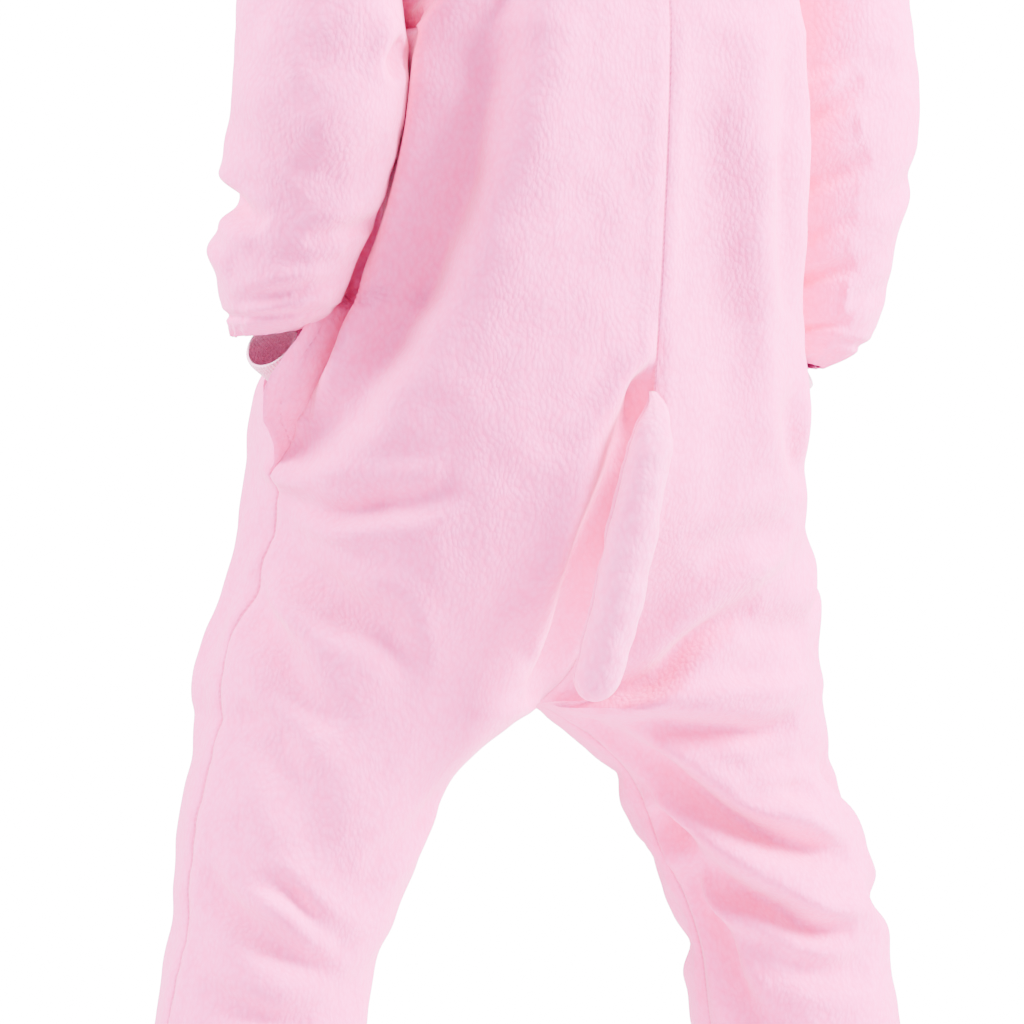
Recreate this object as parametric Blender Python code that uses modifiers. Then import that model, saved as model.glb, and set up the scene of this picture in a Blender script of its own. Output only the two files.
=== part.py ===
"""A plush one-piece lounge suit, worn and hollow, with both wrists in its side pockets.

The wearer faces -Y with the left hand towards +X. The origin is the base of the neck on the
shoulder line. Every cut piece is one closed wall with its own thickness.
"""

import math

import bmesh
import bpy
import numpy as np

# Driving sizes, in metres
CLOTH = 0.0025
SEAM_GAP = 0.0003
CHEST_LEVEL = -0.300
POCKET_TOP = -0.512
POCKET_FOOT = -0.667
ANKLE_LEVEL = -1.362
ANKLE_CUFF_DROP = 0.060
ANKLE_CUFF_RADIUS = 0.047
RIB_KNIT = 0.0022
RIB_DEPTH = 0.0012
BUTTON_RADIUS = 0.011
BUTTON_THICK = 0.0034
BUTTON_COUNT = 7
BUTTON_TOP = -0.095
BUTTON_FOOT = -0.590
BUTTON_LIFT = 0.0005
PLACKET_WIDTH = 0.034
PLACKET_FOOT = -0.620
PLACKET_THICK = 0.0022

# How finely each piece is divided
PANEL_COLUMNS_BACK = 10
PANEL_COLUMNS_FRONT = 8
YOKE_ROWS = 6
SLEEVE_SIDES = 18
SLEEVE_ROWS = 21
RIB_COUNT = 24
ROW_SPACING = 0.041
ROW_CLOSEST = 0.0118

# Trunk and leg sections. Each half of the suit is an oval whose centre moves out from the
# middle plane into a leg: its height, centre (out, aft), half width, depth behind and before
# the centre, squareness, and how softly the two halves blend where they meet.
SECTION_COLUMNS = ("z", "out", "aft", "half", "back", "front", "square", "blend")
SECTIONS = (
    (-0.300, 0.000, 0.040, 0.188, 0.174, 0.150, 3.6, 0.00),
    (-0.360, 0.000, 0.040, 0.189, 0.172, 0.152, 3.6, 0.00),
    (-0.420, 0.000, 0.039, 0.190, 0.169, 0.154, 3.5, 0.00),
    (-0.470, 0.000, 0.034, 0.194, 0.170, 0.156, 3.3, 0.00),
    (-0.515, 0.000, 0.027, 0.206, 0.173, 0.160, 3.0, 0.00),
    (-0.555, 0.000, 0.020, 0.226, 0.175, 0.164, 2.8, 0.02),
    (-0.600, 0.010, 0.013, 0.238, 0.176, 0.168, 2.6, 0.08),
    (-0.660, 0.040, 0.003, 0.211, 0.177, 0.166, 2.4, 0.18),
    (-0.705, 0.063, -0.006, 0.190, 0.172, 0.160, 2.35, 0.25),
    (-0.744, 0.085, -0.012, 0.172, 0.161, 0.152, 2.3, 0.30),
    (-0.782, 0.107, -0.016, 0.161, 0.145, 0.142, 2.25, 0.34),
    (-0.812, 0.125, -0.017, 0.153, 0.132, 0.130, 2.2, 0.35),
    (-0.838, 0.138, -0.015, 0.146, 0.123, 0.122, 2.2, 0.35),
    (-0.856, 0.1465, -0.012, 0.1400, 0.118, 0.117, 2.15, 0.35),
    (-0.866, 0.1490, -0.010, 0.1370, 0.116, 0.115, 2.15, 0.35),
    (-0.878, 0.162, -0.008, 0.129, 0.113, 0.112, 2.1, 0.35),
    (-0.896, 0.180, -0.006, 0.117, 0.110, 0.108, 2.1, 0.32),
    (-0.920, 0.199, -0.004, 0.107, 0.106, 0.104, 2.1, 0.30),
    (-0.955, 0.216, -0.001, 0.101, 0.102, 0.100, 2.1, 0.30),
    (-0.995, 0.231, 0.000, 0.099, 0.099, 0.097, 2.1, 0.30),
    (-1.035, 0.245, 0.003, 0.092, 0.092, 0.092, 2.1, 0.30),
    (-1.078, 0.258, 0.003, 0.088, 0.088, 0.088, 2.1, 0.30),
    (-1.138, 0.269, 0.002, 0.089, 0.089, 0.088, 2.1, 0.30),
    (-1.200, 0.280, 0.001, 0.087, 0.087, 0.086, 2.1, 0.30),
    (-1.265, 0.292, 0.000, 0.083, 0.083, 0.082, 2.1, 0.30),
    (-1.315, 0.301, -0.001, 0.077, 0.077, 0.076, 2.1, 0.30),
    (-1.345, 0.306, -0.002, 0.066, 0.066, 0.065, 2.1, 0.30),
    (-1.362, 0.308, -0.002, 0.050, 0.050, 0.050, 2.0, 0.30),
)
CROTCH_LEVEL = -0.866

# How much fuller one side hangs than the sections say, as (height, out). It is most at the
# place around the half that FULLNESS_CENTRE gives, and fades over FULLNESS_SPREAD.
FULLNESS = {
    "right": (
        (-1.362, 0.0), (-1.05, 0.0), (-1.00, -0.002), (-0.965, -0.010), (-0.93, -0.018), (-0.90, -0.010),
        (-0.87, -0.003), (-0.82, 0.0), (-0.765, 0.006), (-0.71, -0.004), (-0.67, -0.014), (-0.60, -0.014),
        (-0.55, -0.008), (-0.48, 0.0), (-0.30, 0.0),
    ),
    "left": (
        (-1.362, 0.0), (-1.05, 0.0), (-1.00, 0.002), (-0.96, 0.010), (-0.90, 0.012), (-0.84, 0.011),
        (-0.80, 0.004), (-0.74, 0.0), (-0.30, 0.0),
    ),
}
FULLNESS_CENTRE = {"right": 0.36, "left": 0.60}
FULLNESS_SPREAD = 0.17

# Sleeve rings from armhole to wrist: the outer and inner points of each ring, its fore-and-aft
# middle and half depth. The right sleeve hangs a little lower than the left.
RING_COLUMNS = ("outer_x", "outer_z", "inner_x", "inner_z", "aft", "deep")
SLEEVE_RINGS = (
    (0.185, -0.045, 0.176, -0.300, 0.033, 0.075),
    (0.233, -0.076, 0.179, -0.304, 0.041, 0.080),
    (0.274, -0.125, 0.180, -0.311, 0.049, 0.081),
    (0.303, -0.185, 0.179, -0.322, 0.055, 0.080),
    (0.319, -0.248, 0.178, -0.337, 0.059, 0.078),
    (0.327, -0.310, 0.180, -0.362, 0.061, 0.076),
    (0.333, -0.365, 0.185, -0.395, 0.060, 0.074),
    (0.334, -0.412, 0.192, -0.432, 0.055, 0.069),
    (0.329, -0.448, 0.200, -0.462, 0.046, 0.064),
    (0.334, -0.485, 0.209, -0.487, 0.036, 0.062),
    (0.326, -0.520, 0.216, -0.513, 0.029, 0.056),
    (0.310, -0.544, 0.222, -0.532, 0.022, 0.047),
    (0.294, -0.553, 0.232, -0.544, 0.015, 0.035),
)
RIGHT_SLEEVE_DROP = 0.020
SLEEVE_CLEARANCE = 0.0045
WRIST_ENTRY = (0.2620, 0.0140, -0.557)
WRIST_END = (0.1960, -0.0060, -0.610)
WRIST_RADIUS = 0.0235
WRIST_FLARE = 0.0031

# Pocket mouth in the side seam: how far the back panel's edge, the facing's lip and the front
# panel's edge stand back from the seam line, and how far the facing runs under the back panel
POCKET_COLUMNS = ("z", "panel", "lip", "front")
POCKET_MOUTH = (
    (-0.512, 0.000, 0.000, 0.000),
    (-0.528, 0.034, 0.028, 0.044),
    (-0.550, 0.039, 0.031, 0.050),
    (-0.572, 0.039, 0.028, 0.048),
    (-0.590, 0.036, 0.021, 0.040),
    (-0.607, 0.030, 0.011, 0.026),
    (-0.624, 0.021, 0.0020, 0.0050),
    (-0.645, 0.012, 0.0014, 0.0014),
    (-0.667, 0.000, 0.0000, 0.0000),
)
FACING_TUCK = 0.010
FACING_INSET = 0.0044

# Yoke lines above the chest level, as points (out, aft, up)
BACK_MIDDLE = ((0.0, 0.214, -0.300), (0.0, 0.206, -0.200), (0.0, 0.170, -0.085), (0.0, 0.088, 0.004))
FRONT_MIDDLE = ((0.0, -0.110, -0.300), (0.0, -0.128, -0.220), (0.0, -0.118, -0.130), (0.0, -0.078, -0.050))
NECK_SIDE = (0.086, 0.018, 0.004)
NECK_SHARE = 0.5

# Hood lines: crown seam from nape to forehead, and the side fullness
HOOD_CROWN = (
    (0.0, 0.088, 0.0045), (0.0, 0.132, 0.075), (0.0, 0.146, 0.165), (0.0, 0.108, 0.250),
    (0.0, 0.020, 0.287), (0.0, -0.062, 0.272), (0.0, -0.092, 0.236),
)
HOOD_SIDE_WIDTH = 0.128
HOOD_FRONT_WIDTH = 0.098
HOOD_STEPS = 7
HOOD_START = 0.025

# Tail centre line from the seam, as (out, aft, up, radius)
TAIL_LINE = (
    (0.0020, 0.2010, -0.5985, 0.0050),
    (0.0040, 0.2090, -0.6080, 0.0120),
    (0.0080, 0.2140, -0.6250, 0.0180),
    (0.0125, 0.2120, -0.6500, 0.0205),
    (0.0165, 0.2070, -0.6850, 0.0205),
    (0.0215, 0.2000, -0.7300, 0.0208),
    (0.0265, 0.1920, -0.7750, 0.0210),
    (0.0320, 0.1830, -0.8150, 0.0208),
    (0.0355, 0.1770, -0.8380, 0.0200),
)
TAIL_SIDES = 16

# The largest folds, as lines on the cloth: side, around and height at each end, half width and
# depth. "around" runs from the middle back or inseam (0) past the side seam (0.5) to the middle
# front (1). Depth is negative for a trough.
FOLDS = (
    ("left", 0.20, -0.25, 0.34, -0.60, 0.034, -0.010),
    ("left", 0.33, -0.36, 0.42, -0.58, 0.020, 0.007),
    ("left", 0.46, -0.68, 0.22, -0.66, 0.024, -0.006),
    ("left", 0.44, -0.74, 0.26, -0.80, 0.026, -0.006),
    ("left", 0.10, -0.90, 0.30, -0.97, 0.020, -0.005),
    ("left", 0.16, -1.01, 0.42, -0.96, 0.020, -0.005),
    ("left", 0.05, -1.06, 0.34, -1.12, 0.018, -0.006),
    ("left", 0.66, -0.72, 0.60, -0.95, 0.026, -0.006),
    ("left", 0.85, -0.95, 0.62, -1.04, 0.022, -0.006),
    ("right", 0.05, -0.83, 0.40, -0.70, 0.028, -0.008),
    ("right", 0.06, -0.88, 0.40, -0.93, 0.024, -0.008),
    ("right", 0.10, -0.86, 0.42, -0.86, 0.018, 0.006),
    ("right", 0.04, -0.97, 0.38, -1.02, 0.022, -0.008),
    ("right", 0.06, -1.05, 0.34, -1.10, 0.020, -0.006),
    ("right", 0.85, -0.93, 0.60, -1.00, 0.022, -0.006),
    ("right", 0.66, -0.74, 0.60, -0.92, 0.026, -0.006),
    ("both", 0.53, -0.545, 0.54, -0.605, 0.022, 0.012),
    ("both", 0.70, -0.34, 0.74, -0.58, 0.030, -0.008),
    ("both", 0.88, -0.62, 0.92, -0.80, 0.024, -0.007),
    ("both", 0.80, -0.80, 0.96, -0.86, 0.022, -0.006),
    ("both", 0.08, -1.27, 0.42, -1.25, 0.018, -0.006),
    ("both", 0.58, -1.26, 0.92, -1.28, 0.018, -0.006),
    ("both", 0.10, -1.325, 0.90, -1.335, 0.014, 0.005),
)

# Sleeve folds: ring and turn at each end, half width and depth. The ring counts along the
# sleeve, and the turn is the angle round it in degrees, 0 on the outer side and 90 behind.
SLEEVE_FOLDS = (
    (4.0, 150.0, 5.2, 60.0, 0.018, -0.006),
    (6.4, -10.0, 7.2, 95.0, 0.016, -0.008),
    (8.0, -80.0, 7.6, 20.0, 0.016, -0.007),
    (9.0, 20.0, 9.4, 120.0, 0.014, -0.004),
    (5.0, -100.0, 6.0, -40.0, 0.018, -0.005),
)

PINK = (0.93, 0.60, 0.74)
PINK_RIB = (0.90, 0.52, 0.68)
PINK_TAIL = (0.94, 0.66, 0.78)
BUTTON_PINK = (0.86, 0.45, 0.60)


def column(rows, columns, name):
    """Return one named column of a table."""
    return np.array([row[columns.index(name)] for row in rows], dtype=float)


def smooth(knots, values, where):
    """Interpolate with a cubic whose slopes come from the neighbouring knots."""
    knots = np.asarray(knots, dtype=float)
    values = np.asarray(values, dtype=float)
    if knots[0] > knots[-1]:
        knots, values = knots[::-1], values[::-1]
    where = np.clip(np.asarray(where, dtype=float), knots[0], knots[-1])
    slopes = np.gradient(values, knots)
    cell = np.clip(np.searchsorted(knots, where) - 1, 0, len(knots) - 2)
    span = knots[cell + 1] - knots[cell]
    t = (where - knots[cell]) / span
    return (
        (2 * t**3 - 3 * t**2 + 1) * values[cell]
        + (t**3 - 2 * t**2 + t) * span * slopes[cell]
        + (3 * t**2 - 2 * t**3) * values[cell + 1]
        + (t**3 - t**2) * span * slopes[cell + 1]
    )


def path(points, count_or_places):
    """Return points along a smooth line through the given ones, by share of its length."""
    points = np.asarray(points, dtype=float)
    steps = np.linalg.norm(np.diff(points[:, :3], axis=0), axis=1)
    along = np.concatenate([[0.0], np.cumsum(steps)]) / steps.sum()
    places = count_or_places
    if np.isscalar(places):
        places = np.linspace(0.0, 1.0, int(places))
    return np.stack([smooth(along, points[:, k], places) for k in range(points.shape[1])], axis=-1)


def section_at(z):
    """Return the interpolated section sizes at a height, by column name."""
    levels = column(SECTIONS, SECTION_COLUMNS, "z")
    return {
        name: float(smooth(levels, column(SECTIONS, SECTION_COLUMNS, name), z))
        for name in SECTION_COLUMNS[1:]
    } | {"out": max(0.0, float(smooth(levels, column(SECTIONS, SECTION_COLUMNS, "out"), z)))}


def section_field(x, y, size):
    """Return how far points lie outside the section (0 on the cloth), halves blended."""
    deep = np.where(y > size["aft"], size["back"], size["front"])
    power = size["square"]
    aft = np.abs((y - size["aft"]) / deep) ** power

    def oval(centre):
        return (np.abs((x - centre) / size["half"]) ** power + aft) ** (1.0 / power) - 1.0

    near, far = oval(size["out"]), oval(-size["out"])
    blend = max(size["blend"], 1e-6)
    share = np.clip(blend - np.abs(near - far), 0.0, None) / blend
    lift = share**2 * blend / 4.0
    if size["out"] < 0.04:
        lift = lift * (size["out"] / 0.04)
    return np.minimum(near, far) - lift


def section_points(z, around):
    """Return points of the left half section at height z, for shares 0 to 1 of its girth."""
    size = section_at(z)
    centre = np.array([size["out"], size["aft"]])

    def reach(angles):
        low = np.zeros_like(angles)
        high = np.full_like(angles, 0.5)
        for _ in range(42):
            middle = (low + high) / 2
            x = centre[0] + middle * np.cos(angles)
            y = centre[1] + middle * np.sin(angles)
            outside = (section_field(x, y, size) > 0) | (x < 0)
            high = np.where(outside, middle, high)
            low = np.where(outside, low, middle)
        return low

    def edge_angle(sign):
        if section_field(np.array([0.0]), np.array([size["aft"]]), size)[0] >= -1e-4:
            return sign * math.pi
        low, high = 0.0, 0.5
        for _ in range(42):
            middle = (low + high) / 2
            y = size["aft"] + sign * middle
            outside = section_field(np.array([0.0]), np.array([y]), size)[0] > 0
            low, high = (low, middle) if outside else (middle, high)
        return math.atan2(sign * low, -centre[0])

    points = []
    for sign in (1.0, -1.0):
        angles = np.linspace(edge_angle(sign), 0.0, 161)
        radii = reach(angles)
        line = np.stack([centre[0] + radii * np.cos(angles), centre[1] + radii * np.sin(angles)], -1)
        line[:, 0] = np.clip(line[:, 0], 0.0, None)
        points.append(line)
    result = np.zeros((len(around), 2))
    for index, share in enumerate(around):
        line, place = (points[0], share * 2) if share <= 0.5 else (points[1], (1 - share) * 2)
        steps = np.linalg.norm(np.diff(line, axis=0), axis=1)
        along = np.concatenate([[0.0], np.cumsum(steps)]) / steps.sum()
        result[index] = [np.interp(place, along, line[:, k]) for k in range(2)]
    return result


def section_girth(z):
    """Return the length of one half section."""
    line = section_points(z, np.linspace(0, 1, 61))
    return float(np.linalg.norm(np.diff(line, axis=0), axis=1).sum())


def section_normals(points, z):
    """Return outward directions of the blended sections, slope in height included."""
    step = 1e-4
    size, above, below = section_at(z), section_at(z + step), section_at(z - step)
    x, y = points[:, 0], points[:, 1]
    slope = np.stack([
        section_field(x + step, y, size) - section_field(x - step, y, size),
        section_field(x, y + step, size) - section_field(x, y - step, size),
        section_field(x, y, above) - section_field(x, y, below),
    ], axis=-1)
    return slope / np.linalg.norm(slope, axis=1, keepdims=True)


def fold_height(side, around, z, girth):
    """Return how far the folds move the cloth out at a place on one half."""
    total = np.zeros_like(around)
    for owner, a0, z0, a1, z1, width, depth in FOLDS:
        if owner not in (side, "both"):
            continue
        start = np.array([a0 * girth, z0])
        run = np.array([a1 * girth, z1]) - start
        px, pz = around * girth - start[0], z - start[1]
        t = np.clip((px * run[0] + pz * run[1]) / (run @ run), 0.0, 1.0)
        distance = np.hypot(px - t * run[0], pz - t * run[1])
        total += depth * np.exp(-((distance / width) ** 2)) * (0.35 + 0.65 * np.sin(math.pi * t))
    return total


def fullness(side, around, z):
    """Return how much further out one side hangs than the sections say."""
    levels, sizes = zip(*FULLNESS[side])
    return smooth(levels, sizes, z) * np.exp(-(((around - FULLNESS_CENTRE[side]) / FULLNESS_SPREAD) ** 2))


def sleeve_drop(side):
    """Return how much lower one sleeve hangs than the table says."""
    return RIGHT_SLEEVE_DROP if side == "right" else 0.0


def press_in(points, z, side):
    """Keep the trunk clear of the sleeve that hangs against it."""
    inner_z = column(SLEEVE_RINGS, RING_COLUMNS, "inner_z")
    drop = sleeve_drop(side) * np.clip((-0.36 - z) / 0.14, 0.0, 1.0)
    height = np.clip(z + drop, inner_z[-1], inner_z[0])
    inner = smooth(inner_z, column(SLEEVE_RINGS, RING_COLUMNS, "inner_x"), height)
    outer = smooth(inner_z, column(SLEEVE_RINGS, RING_COLUMNS, "outer_x"), height)
    aft = smooth(inner_z, column(SLEEVE_RINGS, RING_COLUMNS, "aft"), height)
    deep = smooth(inner_z, column(SLEEVE_RINGS, RING_COLUMNS, "deep"), height) + 0.012
    half = (outer - inner) / 2
    share = np.clip(1 - ((points[:, 1] - aft) / deep) ** 2, 0.0, 1.0)
    limit = inner + half * (1 - np.sqrt(share)) - SLEEVE_CLEARANCE
    fade = np.clip((z - (inner_z[-1] - 0.012 - drop)) / 0.012, 0.0, 1.0)
    soft = 0.006
    over = points[:, 0] - limit
    cut = 0.5 * (over + np.sqrt(over**2 + soft**2)) * fade * (share > 0)
    moved = points.copy()
    moved[:, 0] = np.where(points[:, 0] > 0.05, points[:, 0] - cut, points[:, 0])
    return moved


def pocket_edge(name, z, side):
    """Return how far one edge of the pocket mouth lies from the seam line at height z."""
    levels = column(POCKET_MOUTH, POCKET_COLUMNS, "z")
    z = z + sleeve_drop(side)
    return float(np.interp(-z, -levels, column(POCKET_MOUTH, POCKET_COLUMNS, name)))


def row_levels():
    """Return the heights of the panel rows from the chest to the ankle."""
    knots = sorted(
        set(column(SECTIONS, SECTION_COLUMNS, "z")) | set(column(POCKET_MOUTH, POCKET_COLUMNS, "z")),
        reverse=True,
    )
    levels = []
    for high, low in zip(knots, knots[1:]):
        if levels and levels[-1] - high < ROW_CLOSEST and high != CROTCH_LEVEL:
            continue
        parts = max(1, math.ceil((high - low) / ROW_SPACING))
        levels += [high + (low - high) * k / parts for k in range(parts)]
    return levels + [knots[-1]]


def trunk_row(side, z, arounds):
    """Return the outer points of one half at a height, and their outward directions."""
    arounds = np.asarray(arounds, dtype=float)
    flat = section_points(z, arounds)
    normals = section_normals(flat, z)
    on_seam = flat[:, 0] < SEAM_GAP
    normals[on_seam, 0] = np.where(z > CROTCH_LEVEL + 1e-6, 0.0, normals[on_seam, 0])
    normals /= np.linalg.norm(normals, axis=1, keepdims=True)
    points = np.column_stack([flat, np.full(len(flat), z)])
    height = fold_height(side, arounds, z, section_girth(z)) + fullness(side, arounds, z)
    push = normals * height[:, None]
    push[:, 2] = 0.0
    if z > CROTCH_LEVEL - 1e-6:
        push[on_seam, 0] = 0.0
    points = press_in(points + push, z, side)
    points[:, 0] = np.clip(points[:, 0], SEAM_GAP / 2, None)
    return points, normals


def middle_line(points, count):
    """Return a smooth line in the middle plane, kept clear of it by half a seam gap."""
    line = path(points, count)
    line[:, 0] = SEAM_GAP / 2
    return line


def armhole_point(turn, inset=0.0):
    """Return a point of the armhole, 0 at the shoulder tip and 90 degrees behind."""
    ring = dict(zip(RING_COLUMNS, SLEEVE_RINGS[0]))
    c, s = math.cos(turn), math.sin(turn)
    x = (ring["outer_x"] + ring["inner_x"]) / 2 + (ring["outer_x"] - ring["inner_x"]) / 2 * c
    z = (ring["outer_z"] + ring["inner_z"]) / 2 + (ring["outer_z"] - ring["inner_z"]) / 2 * c
    return np.array([x - 0.012 * s * s - inset, ring["aft"] + ring["deep"] * s, z])


def yoke_grid(side, face, columns):
    """Return rows from the chest up to the neckline and shoulder seam for one panel."""
    count = len(columns)
    bottom, _ = trunk_row(side, CHEST_LEVEL, columns)
    if face == "front":
        bottom = bottom[::-1]
    middle = middle_line(BACK_MIDDLE if face == "back" else FRONT_MIDDLE, YOKE_ROWS + 1)
    middle[:, 1] += (bottom[0, 1] - middle[0, 1]) * np.linspace(1, 0, YOKE_ROWS + 1)
    sign = 1 if face == "back" else -1
    gap = np.array([0.0, sign * SEAM_GAP / 2, 0.0])
    turns = np.linspace(math.pi, 0.0, YOKE_ROWS + 1)
    armhole = np.array([armhole_point(sign * turn, SEAM_GAP) + gap for turn in turns])
    armhole += (bottom[-1] - armhole[0]) * (1 - np.linspace(0, 1, YOKE_ROWS + 1)[:, None]) ** 3
    neck_side, tip = np.array(NECK_SIDE) + gap, armhole[-1]
    top = np.zeros((count, 3))
    for index, share in enumerate(np.linspace(0, 1, count)):
        if share <= NECK_SHARE:
            angle = share / NECK_SHARE * math.pi / 2
            top[index] = [
                max(SEAM_GAP / 2, neck_side[0] * math.sin(angle)),
                neck_side[1] + (middle[-1, 1] - neck_side[1]) * math.cos(angle),
                neck_side[2] + (middle[-1, 2] - neck_side[2]) * math.cos(angle),
            ]
        else:
            t = (share - NECK_SHARE) / (1 - NECK_SHARE)
            top[index] = neck_side + (tip - neck_side) * t + np.array([0, 0, 0.006 * math.sin(math.pi * t)])
    u = np.linspace(0, 1, count)[None, :, None]
    v = np.linspace(0, 1, YOKE_ROWS + 1)[:, None, None]
    grid = (
        (1 - v) * bottom[None] + v * top[None] + (1 - u) * middle[:, None] + u * armhole[:, None]
        - (1 - u) * (1 - v) * bottom[0] - u * (1 - v) * bottom[-1]
        - (1 - u) * v * top[0] - u * v * top[-1]
    )
    grid[:, 0, 0] = SEAM_GAP / 2
    return grid if face == "back" else grid[:, ::-1]


def grid_normals(grid, aft_sign):
    """Return outward directions of a yoke grid, level across the middle seam."""
    across = np.gradient(grid, axis=1)
    up = np.gradient(grid, axis=0)
    normals = np.cross(across, up)
    normals /= np.linalg.norm(normals, axis=2, keepdims=True)
    middle = grid[len(grid) // 2, grid.shape[1] // 2]
    outward = np.array([middle[0] * 0.5, aft_sign * 0.1, 0.05])
    if normals[len(grid) // 2, grid.shape[1] // 2] @ outward < 0:
        normals = -normals
    return normals


def panel_grid(side, face):
    """Return outer points and outward directions of one panel, rows from ankle to shoulder."""
    rows, directions = [], []
    count = PANEL_COLUMNS_BACK if face == "back" else PANEL_COLUMNS_FRONT
    edge_name = "panel" if face == "back" else "front"
    for z in reversed(row_levels()):
        girth = section_girth(z)
        nip = SEAM_GAP / 2 / girth
        mouth = pocket_edge(edge_name, z, side) / girth
        start = nip if z < CROTCH_LEVEL + 1e-6 else 0.0
        if face == "back":
            columns = np.linspace(start, 0.5 - nip - mouth, count + 1)
        else:
            columns = np.linspace(0.5 + nip + mouth, 1.0 - start, count + 1)
        points, normals = trunk_row(side, z, columns)
        rows.append(points)
        directions.append(normals)
    yoke = yoke_grid(side, face, columns)
    yoke_normals = grid_normals(yoke, 1 if face == "back" else -1)
    seam = 0 if face == "back" else -1
    armhole = -1 if face == "back" else 0
    yoke_normals[:, seam, 0] = 0.0
    yoke_normals[-1] = 0.4 * yoke_normals[-1] + np.array([0.0, 0.0, 1.0])
    on_shoulder = yoke[-1, :, 0] > NECK_SIDE[0] - 0.004
    yoke_normals[-1, on_shoulder] = [0.0, 0.0, 1.0]
    share = np.linspace(0, 1, YOKE_ROWS + 1)[:, None]
    yoke_normals[:, armhole] = (1 - share) * directions[-1][armhole] + share * yoke_normals[-1, armhole]
    yoke_normals /= np.linalg.norm(yoke_normals, axis=2, keepdims=True)
    for k in range(1, YOKE_ROWS + 1):
        rows.append(yoke[k])
        directions.append(yoke_normals[k])
    return np.array(rows), np.array(directions)


def new_object(name, mesh_maker, finish, collection):
    """Make one named object from a filled bmesh, shaded smooth with its own material."""
    mesh = bpy.data.meshes.new(name)
    shape = bmesh.new()
    mesh_maker(shape)
    bmesh.ops.remove_doubles(shape, verts=shape.verts, dist=1e-6)
    bmesh.ops.recalc_face_normals(shape, faces=shape.faces)
    bmesh.ops.triangulate(shape, faces=shape.faces)
    shape.to_mesh(mesh)
    shape.free()
    mesh.shade_smooth()
    mesh.set_sharp_from_angle(angle=math.radians(50))
    result = bpy.data.objects.new(name, mesh)
    collection.objects.link(result)
    mesh.materials.append(material(name, *finish))
    return result


def material(name, colour, roughness):
    """Return a plain cloth or plastic finish."""
    made = bpy.data.materials.new(name + "_finish")
    made.use_nodes = True
    shader = made.node_tree.nodes["Principled BSDF"]
    shader.inputs["Base Color"].default_value = (*colour, 1.0)
    shader.inputs["Roughness"].default_value = roughness
    shader.inputs["Metallic"].default_value = 0.0
    return made


def wall(shape, outer, inner, closed):
    """Fill a wall between two grids of points, joined at their edges."""
    rows, columns = outer.shape[:2]
    skins = [[[shape.verts.new(p) for p in row] for row in grid] for grid in (outer, inner)]

    def face(*corners):
        distinct = list(dict.fromkeys(corners))
        if len(distinct) > 2:
            shape.faces.new(distinct)

    last = columns if closed else columns - 1
    for r in range(rows - 1):
        for c in range(last):
            d = (c + 1) % columns
            face(skins[0][r][c], skins[0][r][d], skins[0][r + 1][d], skins[0][r + 1][c])
            face(skins[1][r][c], skins[1][r + 1][c], skins[1][r + 1][d], skins[1][r][d])
    for r, order in ((0, 1), (rows - 1, -1)):
        for c in range(last):
            d = (c + 1) % columns
            rim = (skins[0][r][c], skins[1][r][c], skins[1][r][d], skins[0][r][d])
            face(*rim[::order])
    if not closed:
        for c, order in ((0, -1), (columns - 1, 1)):
            for r in range(rows - 1):
                rim = (skins[0][r][c], skins[1][r][c], skins[1][r + 1][c], skins[0][r + 1][c])
                face(*rim[::order])


def mirrored(grid, side):
    """Return a grid for the left side, or its mirror image for the right."""
    return grid * np.array([1.0 if side == "left" else -1.0, 1.0, 1.0])


def add_panel(side, face, collection):
    """Add one body panel, shoulder to ankle."""
    outer, normals = panel_grid(side, face)
    inner = outer - normals * CLOTH
    inner[..., 0] = np.clip(inner[..., 0], SEAM_GAP / 2, None)

    def fill(shape):
        wall(shape, mirrored(outer, side), mirrored(inner, side), closed=False)

    new_object(face + "_" + side, fill, (PINK, 0.95), collection)


def add_facing(side, collection):
    """Add the pocket facing that shows behind the wrist and runs under the back panel."""
    rows, directions = [], []
    drop = sleeve_drop(side)
    levels = [z for z in row_levels() if POCKET_FOOT + 0.002 < z + drop < POCKET_TOP - 0.002]
    for z in reversed(levels):
        girth = section_girth(z)
        near = 0.5 - (pocket_edge("lip", z, side) + SEAM_GAP) / girth
        far = 0.5 - (pocket_edge("panel", z, side) + FACING_TUCK) / girth
        points, normals = trunk_row(side, z, np.linspace(far, near, 4))
        rows.append(points - normals * FACING_INSET)
        directions.append(normals)
    outer, normals = np.array(rows), np.array(directions)

    def fill(shape):
        wall(shape, mirrored(outer, side), mirrored(outer - normals * CLOTH, side), closed=False)

    new_object("pocket_facing_" + side, fill, (PINK, 0.95), collection)


def sleeve_rings(side, places):
    """Return centre, outward axis, fore-aft axis and half sizes of sleeve rings."""
    numbers = np.arange(len(SLEEVE_RINGS), dtype=float)
    sizes = {
        name: smooth(numbers, column(SLEEVE_RINGS, RING_COLUMNS, name), places)
        for name in RING_COLUMNS
    }
    drop = sleeve_drop(side) * np.clip((np.asarray(places) - 5.0) / 3.0, 0, 1)
    outer = np.stack([sizes["outer_x"], sizes["aft"], sizes["outer_z"] - drop], -1)
    inner = np.stack([sizes["inner_x"], sizes["aft"], sizes["inner_z"] - drop], -1)
    return outer, inner, sizes["deep"]


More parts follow.
